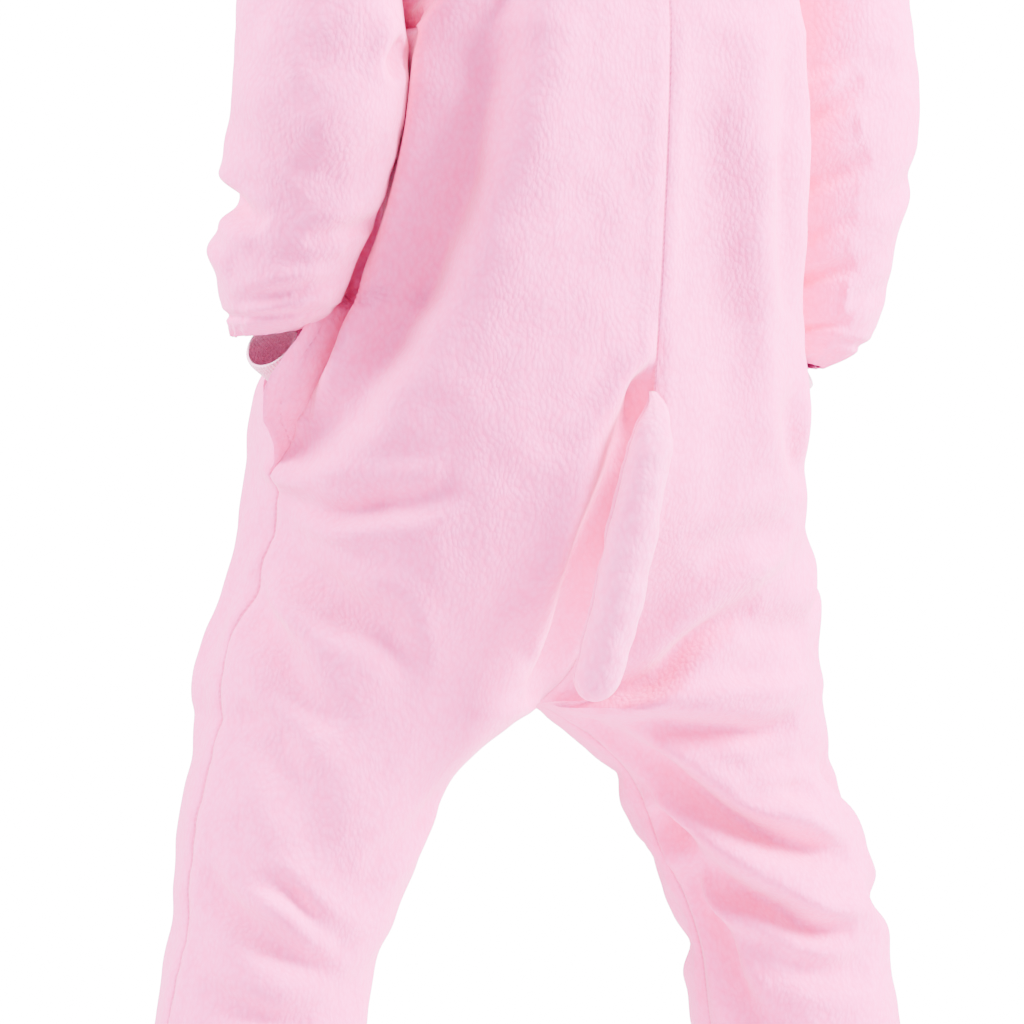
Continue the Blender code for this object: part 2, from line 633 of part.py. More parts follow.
def sleeve_fold_height(place, turns):
    """Return how far the sleeve folds move one ring's points out."""
    total = np.zeros_like(turns)
    reach = 0.045
    for r0, t0, r1, t1, width, depth in SLEEVE_FOLDS:
        start, run = np.array([r0 * reach, t0 / 90 * 0.11]), np.array([(r1 - r0) * reach, (t1 - t0) / 90 * 0.11])
        for wrap in (-360.0, 0.0, 360.0):
            px = place * reach - start[0]
            pt = (np.degrees(turns) + wrap) / 90 * 0.11 - start[1]
            t = np.clip((px * run[0] + pt * run[1]) / (run @ run), 0, 1)
            distance = np.hypot(px - t * run[0], pt - t * run[1])
            total += depth * np.exp(-((distance / width) ** 2)) * (0.35 + 0.65 * np.sin(math.pi * t))
    return total


def add_sleeve(side, collection):
    """Add one sleeve, armhole to gathered wrist."""
    places = np.linspace(0, len(SLEEVE_RINGS) - 1, SLEEVE_ROWS)
    outer_tip, inner_tip, deep = sleeve_rings(side, places)
    turns = np.linspace(0, 2 * math.pi, SLEEVE_SIDES, endpoint=False)
    outer, inner = [], []
    for k, place in enumerate(places):
        centre = (outer_tip[k] + inner_tip[k]) / 2
        arm = (outer_tip[k] - inner_tip[k]) / 2
        hollow = 0.012 * max(0.0, 1 - place / 1.5)
        height = sleeve_fold_height(place, turns)
        height = np.where(np.cos(turns) < -0.3, np.minimum(height, 0.0), height)
        fade = min(1.0, place / 2.0) * min(1.0, (len(SLEEVE_RINGS) - 1 - place) / 2.0)
        ring, lining = [], []
        for turn, lift in zip(turns, height):
            c, s = math.cos(turn), math.sin(turn)
            spot = centre + arm * c + np.array([-hollow * s * s, deep[k] * s, 0.0])
            out = arm / np.linalg.norm(arm) * c + np.array([0.0, s, 0.0])
            out /= np.linalg.norm(out)
            spot = spot + out * lift * fade
            ring.append(spot)
            lining.append(spot - out * CLOTH)
        outer.append(ring)
        inner.append(lining)
    outer, inner = np.array(outer), np.array(inner)
    outer[0, :, 0] += SEAM_GAP
    inner[0, :, 0] += SEAM_GAP

    def fill(shape):
        wall(shape, mirrored(outer, side), mirrored(inner, side), closed=True)

    new_object("sleeve_" + side, fill, (PINK, 0.95), collection)


def rib_tube(shape, line, side, tangent):
    """Fill a ribbed knit tube square to its tangent: rounded ribs outside, plain inside."""
    across = np.cross(tangent, [0.0, 1.0, 0.0])
    across /= np.linalg.norm(across)
    other = np.cross(across, tangent)
    turns = np.linspace(0, 2 * math.pi, RIB_COUNT * 2, endpoint=False)
    outer, inner = [], []
    for x, y, z, radius in line:
        around = across * np.cos(turns)[:, None] + other * np.sin(turns)[:, None]
        ribs = radius + RIB_DEPTH * np.where(np.arange(len(turns)) % 2, -0.5, 0.5)
        outer.append(np.array([x, y, z]) + around * ribs[:, None])
        inner.append(np.array([x, y, z]) + around * (radius - RIB_KNIT))
    wall(shape, mirrored(np.array(outer), side), mirrored(np.array(inner), side), closed=True)


def add_cuffs(side, collection):
    """Add the ribbed wrist and ankle cuffs of one side."""
    drop = np.array([0.0, 0.0, sleeve_drop(side)])
    start, end = np.array(WRIST_ENTRY) - drop, np.array(WRIST_END) - drop
    run = (end - start) / np.linalg.norm(end - start)
    wrist = [(*(start + run * 0.001), WRIST_RADIUS + WRIST_FLARE), (*((start + end) / 2), WRIST_RADIUS - 0.001),
             (*end, WRIST_RADIUS - 0.002)]
    new_object("cuff_" + side, lambda shape: rib_tube(shape, wrist, side, run), (PINK_RIB, 0.9), collection)
    down = np.array([0.0, 0.0, -1.0])
    size = dict(zip(SECTION_COLUMNS, SECTIONS[-1]))
    ankle = [
        (size["out"], size["aft"], ANKLE_LEVEL - SEAM_GAP, ANKLE_CUFF_RADIUS + 0.002),
        (size["out"] + 0.003, size["aft"], ANKLE_LEVEL - ANKLE_CUFF_DROP / 2, ANKLE_CUFF_RADIUS - 0.001),
        (size["out"] + 0.006, size["aft"], ANKLE_LEVEL - ANKLE_CUFF_DROP, ANKLE_CUFF_RADIUS - 0.003),
    ]
    new_object("ankle_cuff_" + side, lambda shape: rib_tube(shape, ankle, side, down),
               (PINK_RIB, 0.9), collection)


def hood_grid():
    """Return outer points of the left hood half: rows fan from the nape to the face edge."""
    nape = np.array([SEAM_GAP / 2, BACK_MIDDLE[-1][1], BACK_MIDDLE[-1][2] + 2 * SEAM_GAP])
    front = np.array([SEAM_GAP / 2, FRONT_MIDDLE[-1][1], FRONT_MIDDLE[-1][2] + 2 * SEAM_GAP])
    shoulder = np.array(NECK_SIDE) + np.array([0.0, 0.0, 2 * SEAM_GAP])
    behind = np.linspace(0.0, 0.5, PANEL_COLUMNS_BACK // 2 + 1)
    before = np.linspace(0.5, 1.0, PANEL_COLUMNS_FRONT // 2 + 1)[1:]
    corners, lows = np.concatenate([behind, before]), []
    for share in corners:
        angle = share * math.pi
        ends = nape if angle < math.pi / 2 else front
        lows.append([
            max(SEAM_GAP / 2, shoulder[0] * math.sin(angle)),
            shoulder[1] + (ends[1] - shoulder[1]) * abs(math.cos(angle)),
            shoulder[2] + (ends[2] - shoulder[2]) * abs(math.cos(angle)),
        ])
    shares = np.sort(np.concatenate([corners, (corners[1:] + corners[:-1]) / 2]))
    lows = np.stack([np.interp(shares, corners, np.array(lows)[:, k]) for k in range(3)], axis=-1)
    rows = []
    for share, top, low in zip(shares, path(HOOD_CROWN, np.maximum(shares, HOOD_START)), lows):
        width = HOOD_SIDE_WIDTH * math.sin(min(share, 0.55) / 0.55 * math.pi / 2)
        width += (HOOD_FRONT_WIDTH - HOOD_SIDE_WIDTH) * max(0.0, share - 0.55) / 0.45
        top = np.array([SEAM_GAP / 2, top[1], top[2]])
        reach = np.linalg.norm(top - low)
        first = top + np.array([width * 1.05, 0.0, 0.0])
        second = low + np.array([width * 0.45, 0.0, reach * 0.42])
        t = np.linspace(0, 1, HOOD_STEPS + 1)[:, None]
        rows.append((1 - t) ** 3 * top + 3 * (1 - t) ** 2 * t * first
                    + 3 * (1 - t) * t**2 * second + t**3 * low)
    return np.array(rows)


def add_hood(side, collection):
    """Add one half of the hood, worn up and open at the face."""
    outer = hood_grid()
    normals = np.cross(np.gradient(outer, axis=0), np.gradient(outer, axis=1))
    normals /= np.linalg.norm(normals, axis=2, keepdims=True)
    centre = np.array([0.0, 0.02, 0.14])
    if (normals * (outer - centre)).sum() < 0:
        normals = -normals
    normals[:, 0, 0] = 0.0
    normals[:, -1, 2] = 0.0
    normals[0, :, 0] = 0.0
    normals[:, -1, 0] = np.where(outer[:, -1, 0] < 0.01, 0.0, normals[:, -1, 0])
    normals /= np.linalg.norm(normals, axis=2, keepdims=True)
    inner = outer - normals * CLOTH
    inner[..., 0] = np.clip(inner[..., 0], SEAM_GAP / 2, None)

    def fill(shape):
        wall(shape, mirrored(outer, side), mirrored(inner, side), closed=False)

    new_object("hood_" + side, fill, (PINK, 0.95), collection)


def add_tail(collection):
    """Add the stuffed tail that hangs from the middle back seam."""
    line = path(TAIL_LINE, 13)
    root, _ = trunk_row("left", line[0, 2], [0.0])
    seat = root[0, 1] + line[0, 3] + SEAM_GAP - line[0, 1]
    line[:, 1] += seat * np.linspace(1.0, 0.0, len(line)) ** 6
    turns = np.linspace(0, 2 * math.pi, TAIL_SIDES, endpoint=False)
    rings = []
    stations = [(row[:3], row[3]) for row in line]
    tip, heading = line[-1, :3], line[-1, :3] - line[-2, :3]
    heading /= np.linalg.norm(heading)
    for angle in (25, 50, 72):
        bend = math.radians(angle)
        stations.append((tip + heading * line[-1, 3] * math.sin(bend), line[-1, 3] * math.cos(bend)))
    across = np.array([1.0, 0.0, 0.0])
    other = np.cross(heading, across)
    other /= np.linalg.norm(other)
    for spot, radius in stations:
        rings.append(spot + radius * (across * np.cos(turns)[:, None] + other * np.sin(turns)[:, None]))

    def fill(shape):
        loops = [[shape.verts.new(p) for p in ring] for ring in rings]
        for low, high in zip(loops, loops[1:]):
            for k in range(TAIL_SIDES):
                n = (k + 1) % TAIL_SIDES
                shape.faces.new((low[k], low[n], high[n], high[k]))
        shape.faces.new(loops[0])
        end = shape.verts.new(tip + heading * line[-1, 3])
        for k in range(TAIL_SIDES):
            shape.faces.new((loops[-1][k], loops[-1][(k + 1) % TAIL_SIDES], end))

    new_object("tail", fill, (PINK_TAIL, 0.95), collection)


def add_placket(collection):
    """Add the button band over the middle front seam, and its buttons."""
    panel, directions = panel_grid("left", "front")
    half = PLACKET_WIDTH / 2
    outer, inner = [], []
    for row, normals in zip(panel[:-1, ::-1], directions[:-1, ::-1]):
        if row[0, 2] < PLACKET_FOOT:
            continue
        points, ways = [], []
        for across in (-half, -half / 2, 0.0, half / 2, half):
            place = max(abs(across), row[0, 0])
            sign = np.array([-1.0 if across < 0 else 1.0, 1.0, 1.0])
            spot = [place] + [np.interp(place, row[:, 0], row[:, k]) for k in (1, 2)]
            way = np.array([np.interp(place, row[:, 0], normals[:, k]) for k in range(3)])
            points.append(np.array(spot) * sign)
            ways.append(way / np.linalg.norm(way) * sign)
        points, ways = np.array(points), np.array(ways)
        points[2, 0] = 0.0
        ways[2, 0] = 0.0
        inner.append(points + ways * 2 * SEAM_GAP)
        outer.append(points + ways * (2 * SEAM_GAP + PLACKET_THICK))
    outer, inner = np.array(outer), np.array(inner)
    new_object("placket", lambda shape: wall(shape, outer, inner, closed=False), (PINK, 0.95), collection)
    heights, depths = outer[:, 2, 2], outer[:, 1:4, 1].min(axis=1)
    for number, z in enumerate(np.linspace(BUTTON_TOP, BUTTON_FOOT, BUTTON_COUNT), 1):
        upper, lower = (np.interp(z + reach, heights, depths) for reach in (BUTTON_RADIUS, -BUTTON_RADIUS))
        slope = math.atan2(upper - lower, 2 * BUTTON_RADIUS)
        facing = np.array([0.0, -math.cos(slope), math.sin(slope)])
        under = z + np.linspace(-BUTTON_RADIUS, BUTTON_RADIUS, 9)
        middle = np.array([0.0, np.interp(z, heights, depths), z])
        band = np.stack([0 * under, np.interp(under, heights, depths), under], axis=-1)
        proud = float(((band - middle) @ facing).max())
        spot = middle + facing * (proud + BUTTON_LIFT + BUTTON_THICK / 2)
        bpy.ops.mesh.primitive_cylinder_add(
            vertices=18, radius=BUTTON_RADIUS, depth=BUTTON_THICK, location=spot,
            rotation=(math.pi / 2 - slope, 0.0, 0.0),
        )
        button = bpy.context.object
        button.name = "button_" + str(number)
        bevel = button.modifiers.new("rounded_rim", "BEVEL")
        bevel.width = 0.0008
        bevel.segments = 1
        button.data.materials.append(material(button.name, BUTTON_PINK, 0.35))
        for holder in list(button.users_collection):
            holder.objects.unlink(button)
        collection.objects.link(button)


def main():
    """Build the whole suit."""
    for old in list(bpy.data.objects):
        bpy.data.objects.remove(old, do_unlink=True)
    collection = bpy.data.collections.new("lounge_suit")
    bpy.context.scene.collection.children.link(collection)
    for side in ("left", "right"):
        add_panel(side, "back", collection)
        add_panel(side, "front", collection)
        add_facing(side, collection)
        add_sleeve(side, collection)
        add_cuffs(side, collection)
        add_hood(side, collection)
    add_tail(collection)
    add_placket(collection)


main()
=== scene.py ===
"""A plush one-piece suit in its hollow worn form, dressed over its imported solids.

The wearer faces -Y with the left hand towards +X, and the origin is the base of the neck.
Every sheet of cloth is a thin shell on the form of its solid, with the photograph's main folds.
"""

import logging
import math
from dataclasses import dataclass, field
from enum import Enum

import bmesh
import bpy
import numpy as np
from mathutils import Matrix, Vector, noise


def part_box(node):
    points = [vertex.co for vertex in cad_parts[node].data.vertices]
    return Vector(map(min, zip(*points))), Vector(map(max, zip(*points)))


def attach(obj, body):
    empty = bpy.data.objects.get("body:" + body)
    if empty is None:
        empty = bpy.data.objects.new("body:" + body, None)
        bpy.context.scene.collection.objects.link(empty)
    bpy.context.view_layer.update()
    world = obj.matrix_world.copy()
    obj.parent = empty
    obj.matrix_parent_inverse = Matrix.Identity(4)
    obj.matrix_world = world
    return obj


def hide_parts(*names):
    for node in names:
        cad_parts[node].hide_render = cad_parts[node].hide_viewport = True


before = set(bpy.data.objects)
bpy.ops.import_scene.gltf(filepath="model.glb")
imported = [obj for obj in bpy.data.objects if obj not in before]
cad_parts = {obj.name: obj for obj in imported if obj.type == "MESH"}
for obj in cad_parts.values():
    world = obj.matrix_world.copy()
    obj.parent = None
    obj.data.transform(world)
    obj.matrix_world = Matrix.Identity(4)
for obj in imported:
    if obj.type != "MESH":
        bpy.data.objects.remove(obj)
LOG = logging.getLogger("suit")

CLOTH = 0.0024
SEAM_GAP = 0.0003
FAR = 0.05
STITCH_LENGTH = 0.0048
RISE_SHARE = 0.25
CHEST_LEVEL = -0.300
CROTCH_LEVEL = -0.866
ANKLE_LEVEL = -1.362


class Side(Enum):
    """The wearer's sides, with the sign of X on each."""

    LEFT = "left"
    RIGHT = "right"

    @property
    def sign(self) -> float:
        """Return the sign of X on this side."""
        return 1.0 if self is Side.LEFT else -1.0

    @property
    def sleeve_drop(self) -> float:
        """Return how much lower this side's sleeve and pocket sit than the tables say."""
        return 0.0 if self is Side.LEFT else 0.020


class Face(Enum):
    """Which of a side's two body panels is meant."""

    BACK = "back"
    FRONT = "front"


SECTION_COLUMNS = ("z", "out", "aft", "half", "back", "front", "square", "blend")
SECTIONS = (
    (-0.300, 0.000, 0.040, 0.188, 0.174, 0.150, 3.6, 0.00),
    (-0.360, 0.000, 0.040, 0.189, 0.172, 0.152, 3.6, 0.00),
    (-0.420, 0.000, 0.039, 0.190, 0.169, 0.154, 3.5, 0.00),
    (-0.470, 0.000, 0.034, 0.194, 0.170, 0.156, 3.3, 0.00),
    (-0.515, 0.000, 0.027, 0.206, 0.173, 0.160, 3.0, 0.00),
    (-0.555, 0.000, 0.020, 0.226, 0.175, 0.164, 2.8, 0.02),
    (-0.600, 0.010, 0.013, 0.238, 0.176, 0.168, 2.6, 0.08),
    (-0.660, 0.040, 0.003, 0.211, 0.177, 0.166, 2.4, 0.18),
    (-0.705, 0.063, -0.006, 0.190, 0.172, 0.160, 2.35, 0.25),
    (-0.744, 0.085, -0.012, 0.172, 0.161, 0.152, 2.3, 0.30),
    (-0.782, 0.107, -0.016, 0.161, 0.145, 0.142, 2.25, 0.34),
    (-0.812, 0.125, -0.017, 0.153, 0.132, 0.130, 2.2, 0.35),
    (-0.838, 0.138, -0.015, 0.146, 0.123, 0.122, 2.2, 0.35),
    (-0.856, 0.1465, -0.012, 0.1400, 0.118, 0.117, 2.15, 0.35),
    (-0.866, 0.1490, -0.010, 0.1370, 0.116, 0.115, 2.15, 0.35),
    (-0.878, 0.162, -0.008, 0.129, 0.113, 0.112, 2.1, 0.35),
    (-0.896, 0.180, -0.006, 0.117, 0.110, 0.108, 2.1, 0.32),
    (-0.920, 0.199, -0.004, 0.107, 0.106, 0.104, 2.1, 0.30),
    (-0.955, 0.216, -0.001, 0.101, 0.102, 0.100, 2.1, 0.30),
    (-0.995, 0.231, 0.000, 0.099, 0.099, 0.097, 2.1, 0.30),
    (-1.035, 0.245, 0.003, 0.092, 0.092, 0.092, 2.1, 0.30),
    (-1.078, 0.258, 0.003, 0.088, 0.088, 0.088, 2.1, 0.30),
    (-1.138, 0.269, 0.002, 0.089, 0.089, 0.088, 2.1, 0.30),
    (-1.200, 0.280, 0.001, 0.087, 0.087, 0.086, 2.1, 0.30),
    (-1.265, 0.292, 0.000, 0.083, 0.083, 0.082, 2.1, 0.30),
    (-1.315, 0.301, -0.001, 0.077, 0.077, 0.076, 2.1, 0.30),
    (-1.345, 0.306, -0.002, 0.066, 0.066, 0.065, 2.1, 0.30),
    (-1.362, 0.308, -0.002, 0.050, 0.050, 0.050, 2.0, 0.30),
)

RING_COLUMNS = ("outer_x", "outer_z", "inner_x", "inner_z", "aft", "deep")
SLEEVE_RINGS = (
    (0.185, -0.045, 0.176, -0.300, 0.033, 0.075),
    (0.233, -0.076, 0.179, -0.304, 0.041, 0.080),
    (0.274, -0.125, 0.180, -0.311, 0.049, 0.081),
    (0.303, -0.185, 0.179, -0.322, 0.055, 0.080),
    (0.319, -0.248, 0.178, -0.337, 0.059, 0.078),
    (0.327, -0.310, 0.180, -0.362, 0.061, 0.076),
    (0.333, -0.365, 0.185, -0.395, 0.060, 0.074),
    (0.334, -0.412, 0.192, -0.432, 0.055, 0.069),
    (0.329, -0.448, 0.200, -0.462, 0.046, 0.064),
    (0.334, -0.485, 0.209, -0.487, 0.036, 0.062),
    (0.326, -0.520, 0.216, -0.513, 0.029, 0.056),
    (0.310, -0.544, 0.222, -0.532, 0.022, 0.047),
    (0.294, -0.553, 0.232, -0.544, 0.015, 0.035),
)

POCKET_COLUMNS = ("z", "panel", "lip", "front")
POCKET_MOUTH = (
    (-0.512, 0.000, 0.000, 0.000),
    (-0.528, 0.034, 0.028, 0.044),
    (-0.550, 0.039, 0.031, 0.050),
    (-0.572, 0.039, 0.028, 0.048),
    (-0.590, 0.036, 0.021, 0.040),
    (-0.607, 0.030, 0.011, 0.026),
    (-0.624, 0.021, 0.0020, 0.0050),
    (-0.645, 0.012, 0.0014, 0.0014),
    (-0.667, 0.000, 0.0000, 0.0000),
)

BACK_MIDDLE = ((0.0, 0.214, -0.300), (0.0, 0.206, -0.200), (0.0, 0.170, -0.085), (0.0, 0.088, 0.004))
FRONT_MIDDLE = ((0.0, -0.110, -0.300), (0.0, -0.128, -0.220), (0.0, -0.118, -0.130), (0.0, -0.078, -0.050))
NECK_SIDE = (0.086, 0.018, 0.004)
NECK_SHARE = 0.5
HOOD_CROWN = (
    (0.0, 0.088, 0.0045), (0.0, 0.132, 0.075), (0.0, 0.146, 0.165), (0.0, 0.108, 0.250),
    (0.0, 0.020, 0.287), (0.0, -0.062, 0.272), (0.0, -0.092, 0.236),
)
TAIL_LINE = (
    (0.0040, 0.2010, -0.5985, 0.0035),
    (0.0065, 0.2090, -0.6080, 0.0075),
    (0.0130, 0.2140, -0.6250, 0.0140),
    (0.0190, 0.2120, -0.6500, 0.0192),
    (0.0255, 0.2070, -0.6850, 0.0203),
    (0.0325, 0.2000, -0.7300, 0.0206),
    (0.0385, 0.1920, -0.7750, 0.0210),
    (0.0435, 0.1830, -0.8120, 0.0208),
    (0.0465, 0.1770, -0.8330, 0.0200),
)


@dataclass(frozen=True)
class Fold:
    """One crease: a line on the cloth, and how far it moves the cloth out.

    Places are (around, height): around runs from the middle back or inseam (0) past the side
    seam (0.5) to the middle front (1).
    """

    sides: str
    places: tuple[tuple[float, float], ...]
    width: float
    depth: float


def on_side(kind: type, sides: str, rows: tuple) -> tuple:
    """Return a fold of a kind for each row of a table, all on one side or on both."""
    return tuple(kind(sides, *row) for row in rows)


# The large folds that the solids have, then the creases between them
LARGE_FOLDS = (
    *on_side(Fold, "left", (
        (((0.20, -0.25), (0.34, -0.60)), 0.034, -0.010),
        (((0.33, -0.36), (0.42, -0.58)), 0.020, 0.007),
        (((0.46, -0.68), (0.22, -0.66)), 0.024, -0.006),
        (((0.44, -0.74), (0.26, -0.80)), 0.026, -0.006),
        (((0.10, -0.90), (0.30, -0.97)), 0.020, -0.005),
        (((0.16, -1.01), (0.42, -0.96)), 0.020, -0.005),
        (((0.05, -1.06), (0.34, -1.12)), 0.018, -0.006),
        (((0.66, -0.72), (0.60, -0.95)), 0.026, -0.006),
        (((0.85, -0.95), (0.62, -1.04)), 0.022, -0.006),
    )),
    *on_side(Fold, "right", (
        (((0.05, -0.83), (0.40, -0.70)), 0.028, -0.008),
        (((0.06, -0.88), (0.40, -0.93)), 0.024, -0.008),
        (((0.10, -0.86), (0.42, -0.86)), 0.018, 0.006),
        (((0.04, -0.97), (0.38, -1.02)), 0.022, -0.008),
        (((0.06, -1.05), (0.34, -1.10)), 0.020, -0.006),
        (((0.85, -0.93), (0.60, -1.00)), 0.022, -0.006),
        (((0.66, -0.74), (0.60, -0.92)), 0.026, -0.006),
    )),
    *on_side(Fold, "both", (
        (((0.53, -0.545), (0.54, -0.605)), 0.022, 0.012),
        (((0.70, -0.34), (0.74, -0.58)), 0.030, -0.008),
        (((0.88, -0.62), (0.92, -0.80)), 0.024, -0.007),
        (((0.80, -0.80), (0.96, -0.86)), 0.022, -0.006),
        (((0.08, -1.27), (0.42, -1.25)), 0.018, -0.006),
        (((0.58, -1.26), (0.92, -1.28)), 0.018, -0.006),
        (((0.10, -1.325), (0.90, -1.335)), 0.014, 0.005),
    )),
)
# Most points of the creases behind were picked by eye on the photograph, and a scratch script worked out
# where they lie on the cloth. The points off its edge and in front are given one by one.
CREASES = (
    *on_side(Fold, "left", (
        ((
            (0.250, -0.200), (0.256, -0.276), (0.275, -0.353), (0.312, -0.421), (0.342, -0.490),
            (0.356, -0.544), (0.380, -0.601), (0.430, -0.628), (0.480, -0.650),
        ), 0.021, -0.0140),
        ((
            (0.340, -0.240), (0.353, -0.319), (0.371, -0.404), (0.390, -0.467), (0.398, -0.533),
            (0.412, -0.591), (0.457, -0.633),
        ), 0.012, 0.0065),
        ((
            (0.455, -0.450), (0.448, -0.500), (0.438, -0.540), (0.440, -0.585), (0.458, -0.620),
        ), 0.009, -0.0075),
        (((0.150, -0.250), (0.180, -0.380), (0.230, -0.500), (0.280, -0.600)), 0.030, 0.0045),
        ((
            (0.540, -0.664), (0.480, -0.668), (0.395, -0.660), (0.319, -0.664), (0.260, -0.655),
        ), 0.009, 0.0060),
        ((
            (0.530, -0.680), (0.485, -0.684), (0.402, -0.693), (0.339, -0.694), (0.273, -0.684),
            (0.235, -0.668),
        ), 0.0090, -0.0070),
        ((
            (0.530, -0.700), (0.480, -0.703), (0.420, -0.714), (0.378, -0.727), (0.303, -0.744),
        ), 0.010, -0.0050),
        ((
            (0.530, -0.705), (0.485, -0.718), (0.430, -0.738), (0.381, -0.761), (0.297, -0.799),
            (0.255, -0.850),
        ), 0.014, -0.0085),
        ((
            (0.520, -0.745), (0.480, -0.769), (0.440, -0.800), (0.402, -0.829), (0.371, -0.880),
        ), 0.014, -0.0080),
        (((0.478, -0.745), (0.440, -0.770), (0.400, -0.800)), 0.010, 0.0035),
        (((0.475, -0.854), (0.430, -0.880), (0.381, -0.914), (0.295, -0.973)), 0.014, -0.0055),
        ((
            (0.010, -0.600), (0.028, -0.640), (0.045, -0.684), (0.052, -0.752), (0.046, -0.799),
            (0.059, -0.833), (0.106, -0.854),
        ), 0.017, -0.0170),
        (((0.110, -0.640), (0.115, -0.720), (0.120, -0.790)), 0.024, 0.0040),
        ((
            (0.470, -0.990), (0.430, -1.010), (0.381, -1.033), (0.292, -1.062), (0.200, -1.078),
        ), 0.010, -0.0075),
        (((0.390, -0.985), (0.340, -1.008), (0.294, -1.033), (0.194, -1.056)), 0.009, -0.0060),
        (((0.380, -1.005), (0.320, -1.030), (0.240, -1.056)), 0.009, 0.0045),
        (((0.440, -1.085), (0.360, -1.105), (0.260, -1.118)), 0.010, -0.0060),
        (((0.120, -0.930), (0.170, -0.965), (0.240, -0.985)), 0.013, -0.0045),
    )),
    *on_side(Fold, "right", (
        ((
            (0.020, -0.842), (0.060, -0.850), (0.093, -0.846), (0.123, -0.822), (0.163, -0.797),
            (0.225, -0.780),
        ), 0.010, -0.0110),
        ((
            (0.030, -0.830), (0.062, -0.818), (0.103, -0.786), (0.172, -0.756), (0.265, -0.742),
        ), 0.013, 0.0070),
        (((0.100, -0.745), (0.160, -0.722), (0.240, -0.712)), 0.014, -0.0050),
        (((0.200, -0.805), (0.260, -0.800), (0.330, -0.810)), 0.014, -0.0050),
        ((
            (0.060, -0.868), (0.092, -0.863), (0.154, -0.858), (0.236, -0.854), (0.345, -0.852),
        ), 0.010, 0.0065),
        ((
            (0.060, -0.878), (0.093, -0.882), (0.145, -0.888), (0.208, -0.892), (0.310, -0.884),
        ), 0.0085, -0.0100),
        ((
            (0.040, -0.882), (0.098, -0.893), (0.129, -0.920), (0.197, -0.948), (0.300, -0.988),
        ), 0.010, 0.0070),
        ((
            (0.030, -0.885), (0.073, -0.908), (0.090, -0.942), (0.146, -0.975), (0.242, -0.998),
            (0.320, -1.002),
        ), 0.0095, -0.0140),
        (((0.158, -0.936), (0.218, -0.950), (0.298, -0.944)), 0.008, -0.0070),
        ((
            (0.040, -0.955), (0.075, -0.972), (0.140, -1.006), (0.225, -1.035), (0.339, -1.052),
        ), 0.010, 0.0065),
        ((
            (0.030, -0.975), (0.055, -0.994), (0.104, -1.026), (0.185, -1.056), (0.283, -1.068),
        ), 0.0095, -0.0130),
        (((0.060, -1.015), (0.110, -1.055), (0.180, -1.080)), 0.010, 0.0050),
        (((0.035, -1.020), (0.048, -1.060), (0.066, -1.100), (0.095, -1.145)), 0.010, -0.0100),
        (((0.140, -1.090), (0.220, -1.105), (0.300, -1.100)), 0.011, -0.0060),
        ((
            (0.060, -0.300), (0.064, -0.421), (0.090, -0.523), (0.103, -0.625), (0.115, -0.710),
        ), 0.024, -0.0045),
        (((0.130, -0.280), (0.140, -0.420), (0.170, -0.560), (0.190, -0.660)), 0.022, 0.0050),
        (((0.205, -0.290), (0.210, -0.420), (0.225, -0.540)), 0.015, -0.0060),
        (((0.260, -0.560), (0.270, -0.640), (0.280, -0.700)), 0.016, 0.0040),
        (((0.200, -0.600), (0.240, -0.650), (0.300, -0.680)), 0.013, -0.0055),
        (((0.440, -0.740), (0.380, -0.770), (0.330, -0.800)), 0.012, -0.0060),
        (((0.360, -0.920), (0.430, -0.955), (0.500, -0.990)), 0.012, -0.0070),
        (((0.340, -1.030), (0.420, -1.050), (0.500, -1.050)), 0.012, -0.0060),
    )),
    *on_side(Fold, "both", (
        (((0.55, -0.70), (0.57, -0.80), (0.56, -0.90)), 0.012, 0.004),
        (((0.60, -0.66), (0.61, -0.78), (0.59, -0.88)), 0.010, -0.004),
        (((0.64, -0.38), (0.66, -0.46), (0.70, -0.56)), 0.014, -0.005),
        (((0.78, -0.33), (0.80, -0.45), (0.84, -0.58)), 0.016, -0.004),
        (((0.97, -0.66), (0.90, -0.72), (0.82, -0.76)), 0.012, -0.005),
        (((0.99, -0.79), (0.91, -0.81), (0.80, -0.82)), 0.010, -0.006),
        (((0.99, -0.85), (0.90, -0.87), (0.78, -0.90)), 0.010, -0.007),
        (((0.97, -0.92), (0.88, -0.95), (0.76, -0.965)), 0.010, -0.006),
        (((0.96, -1.00), (0.86, -1.02), (0.74, -1.03)), 0.011, -0.006),
        (((0.98, -1.07), (0.88, -1.09), (0.70, -1.11)), 0.012, -0.005),
        (((0.05, -1.185), (0.20, -1.200), (0.38, -1.19)), 0.012, -0.005),
        (((0.95, -1.180), (0.80, -1.205), (0.62, -1.20)), 0.012, -0.005),
        (((0.04, -1.300), (0.22, -1.295), (0.44, -1.305)), 0.010, -0.006),
        (((0.96, -1.305), (0.78, -1.300), (0.56, -1.31)), 0.010, -0.006),
        (((0.30, -0.16), (0.42, -0.24), (0.46, -0.29)), 0.014, -0.005),
        (((0.72, -0.17), (0.60, -0.24), (0.55, -0.29)), 0.014, -0.005),
    )),
)

RIGHT_FULLNESS = (
    (-1.362, 0.0), (-1.05, 0.0), (-1.00, -0.002), (-0.965, -0.010), (-0.93, -0.018), (-0.90, -0.010),
    (-0.87, -0.003), (-0.82, 0.0), (-0.765, 0.006), (-0.71, -0.004), (-0.67, -0.014), (-0.60, -0.014),
    (-0.55, -0.008), (-0.48, 0.0), (-0.30, 0.0), (0.01, 0.0),
)
LEFT_FULLNESS = (
    (-1.362, 0.0), (-1.05, 0.0), (-1.00, 0.002), (-0.96, 0.010), (-0.90, 0.012), (-0.84, 0.011),
    (-0.80, 0.004), (-0.74, 0.0), (-0.30, 0.0), (0.01, 0.0),
)

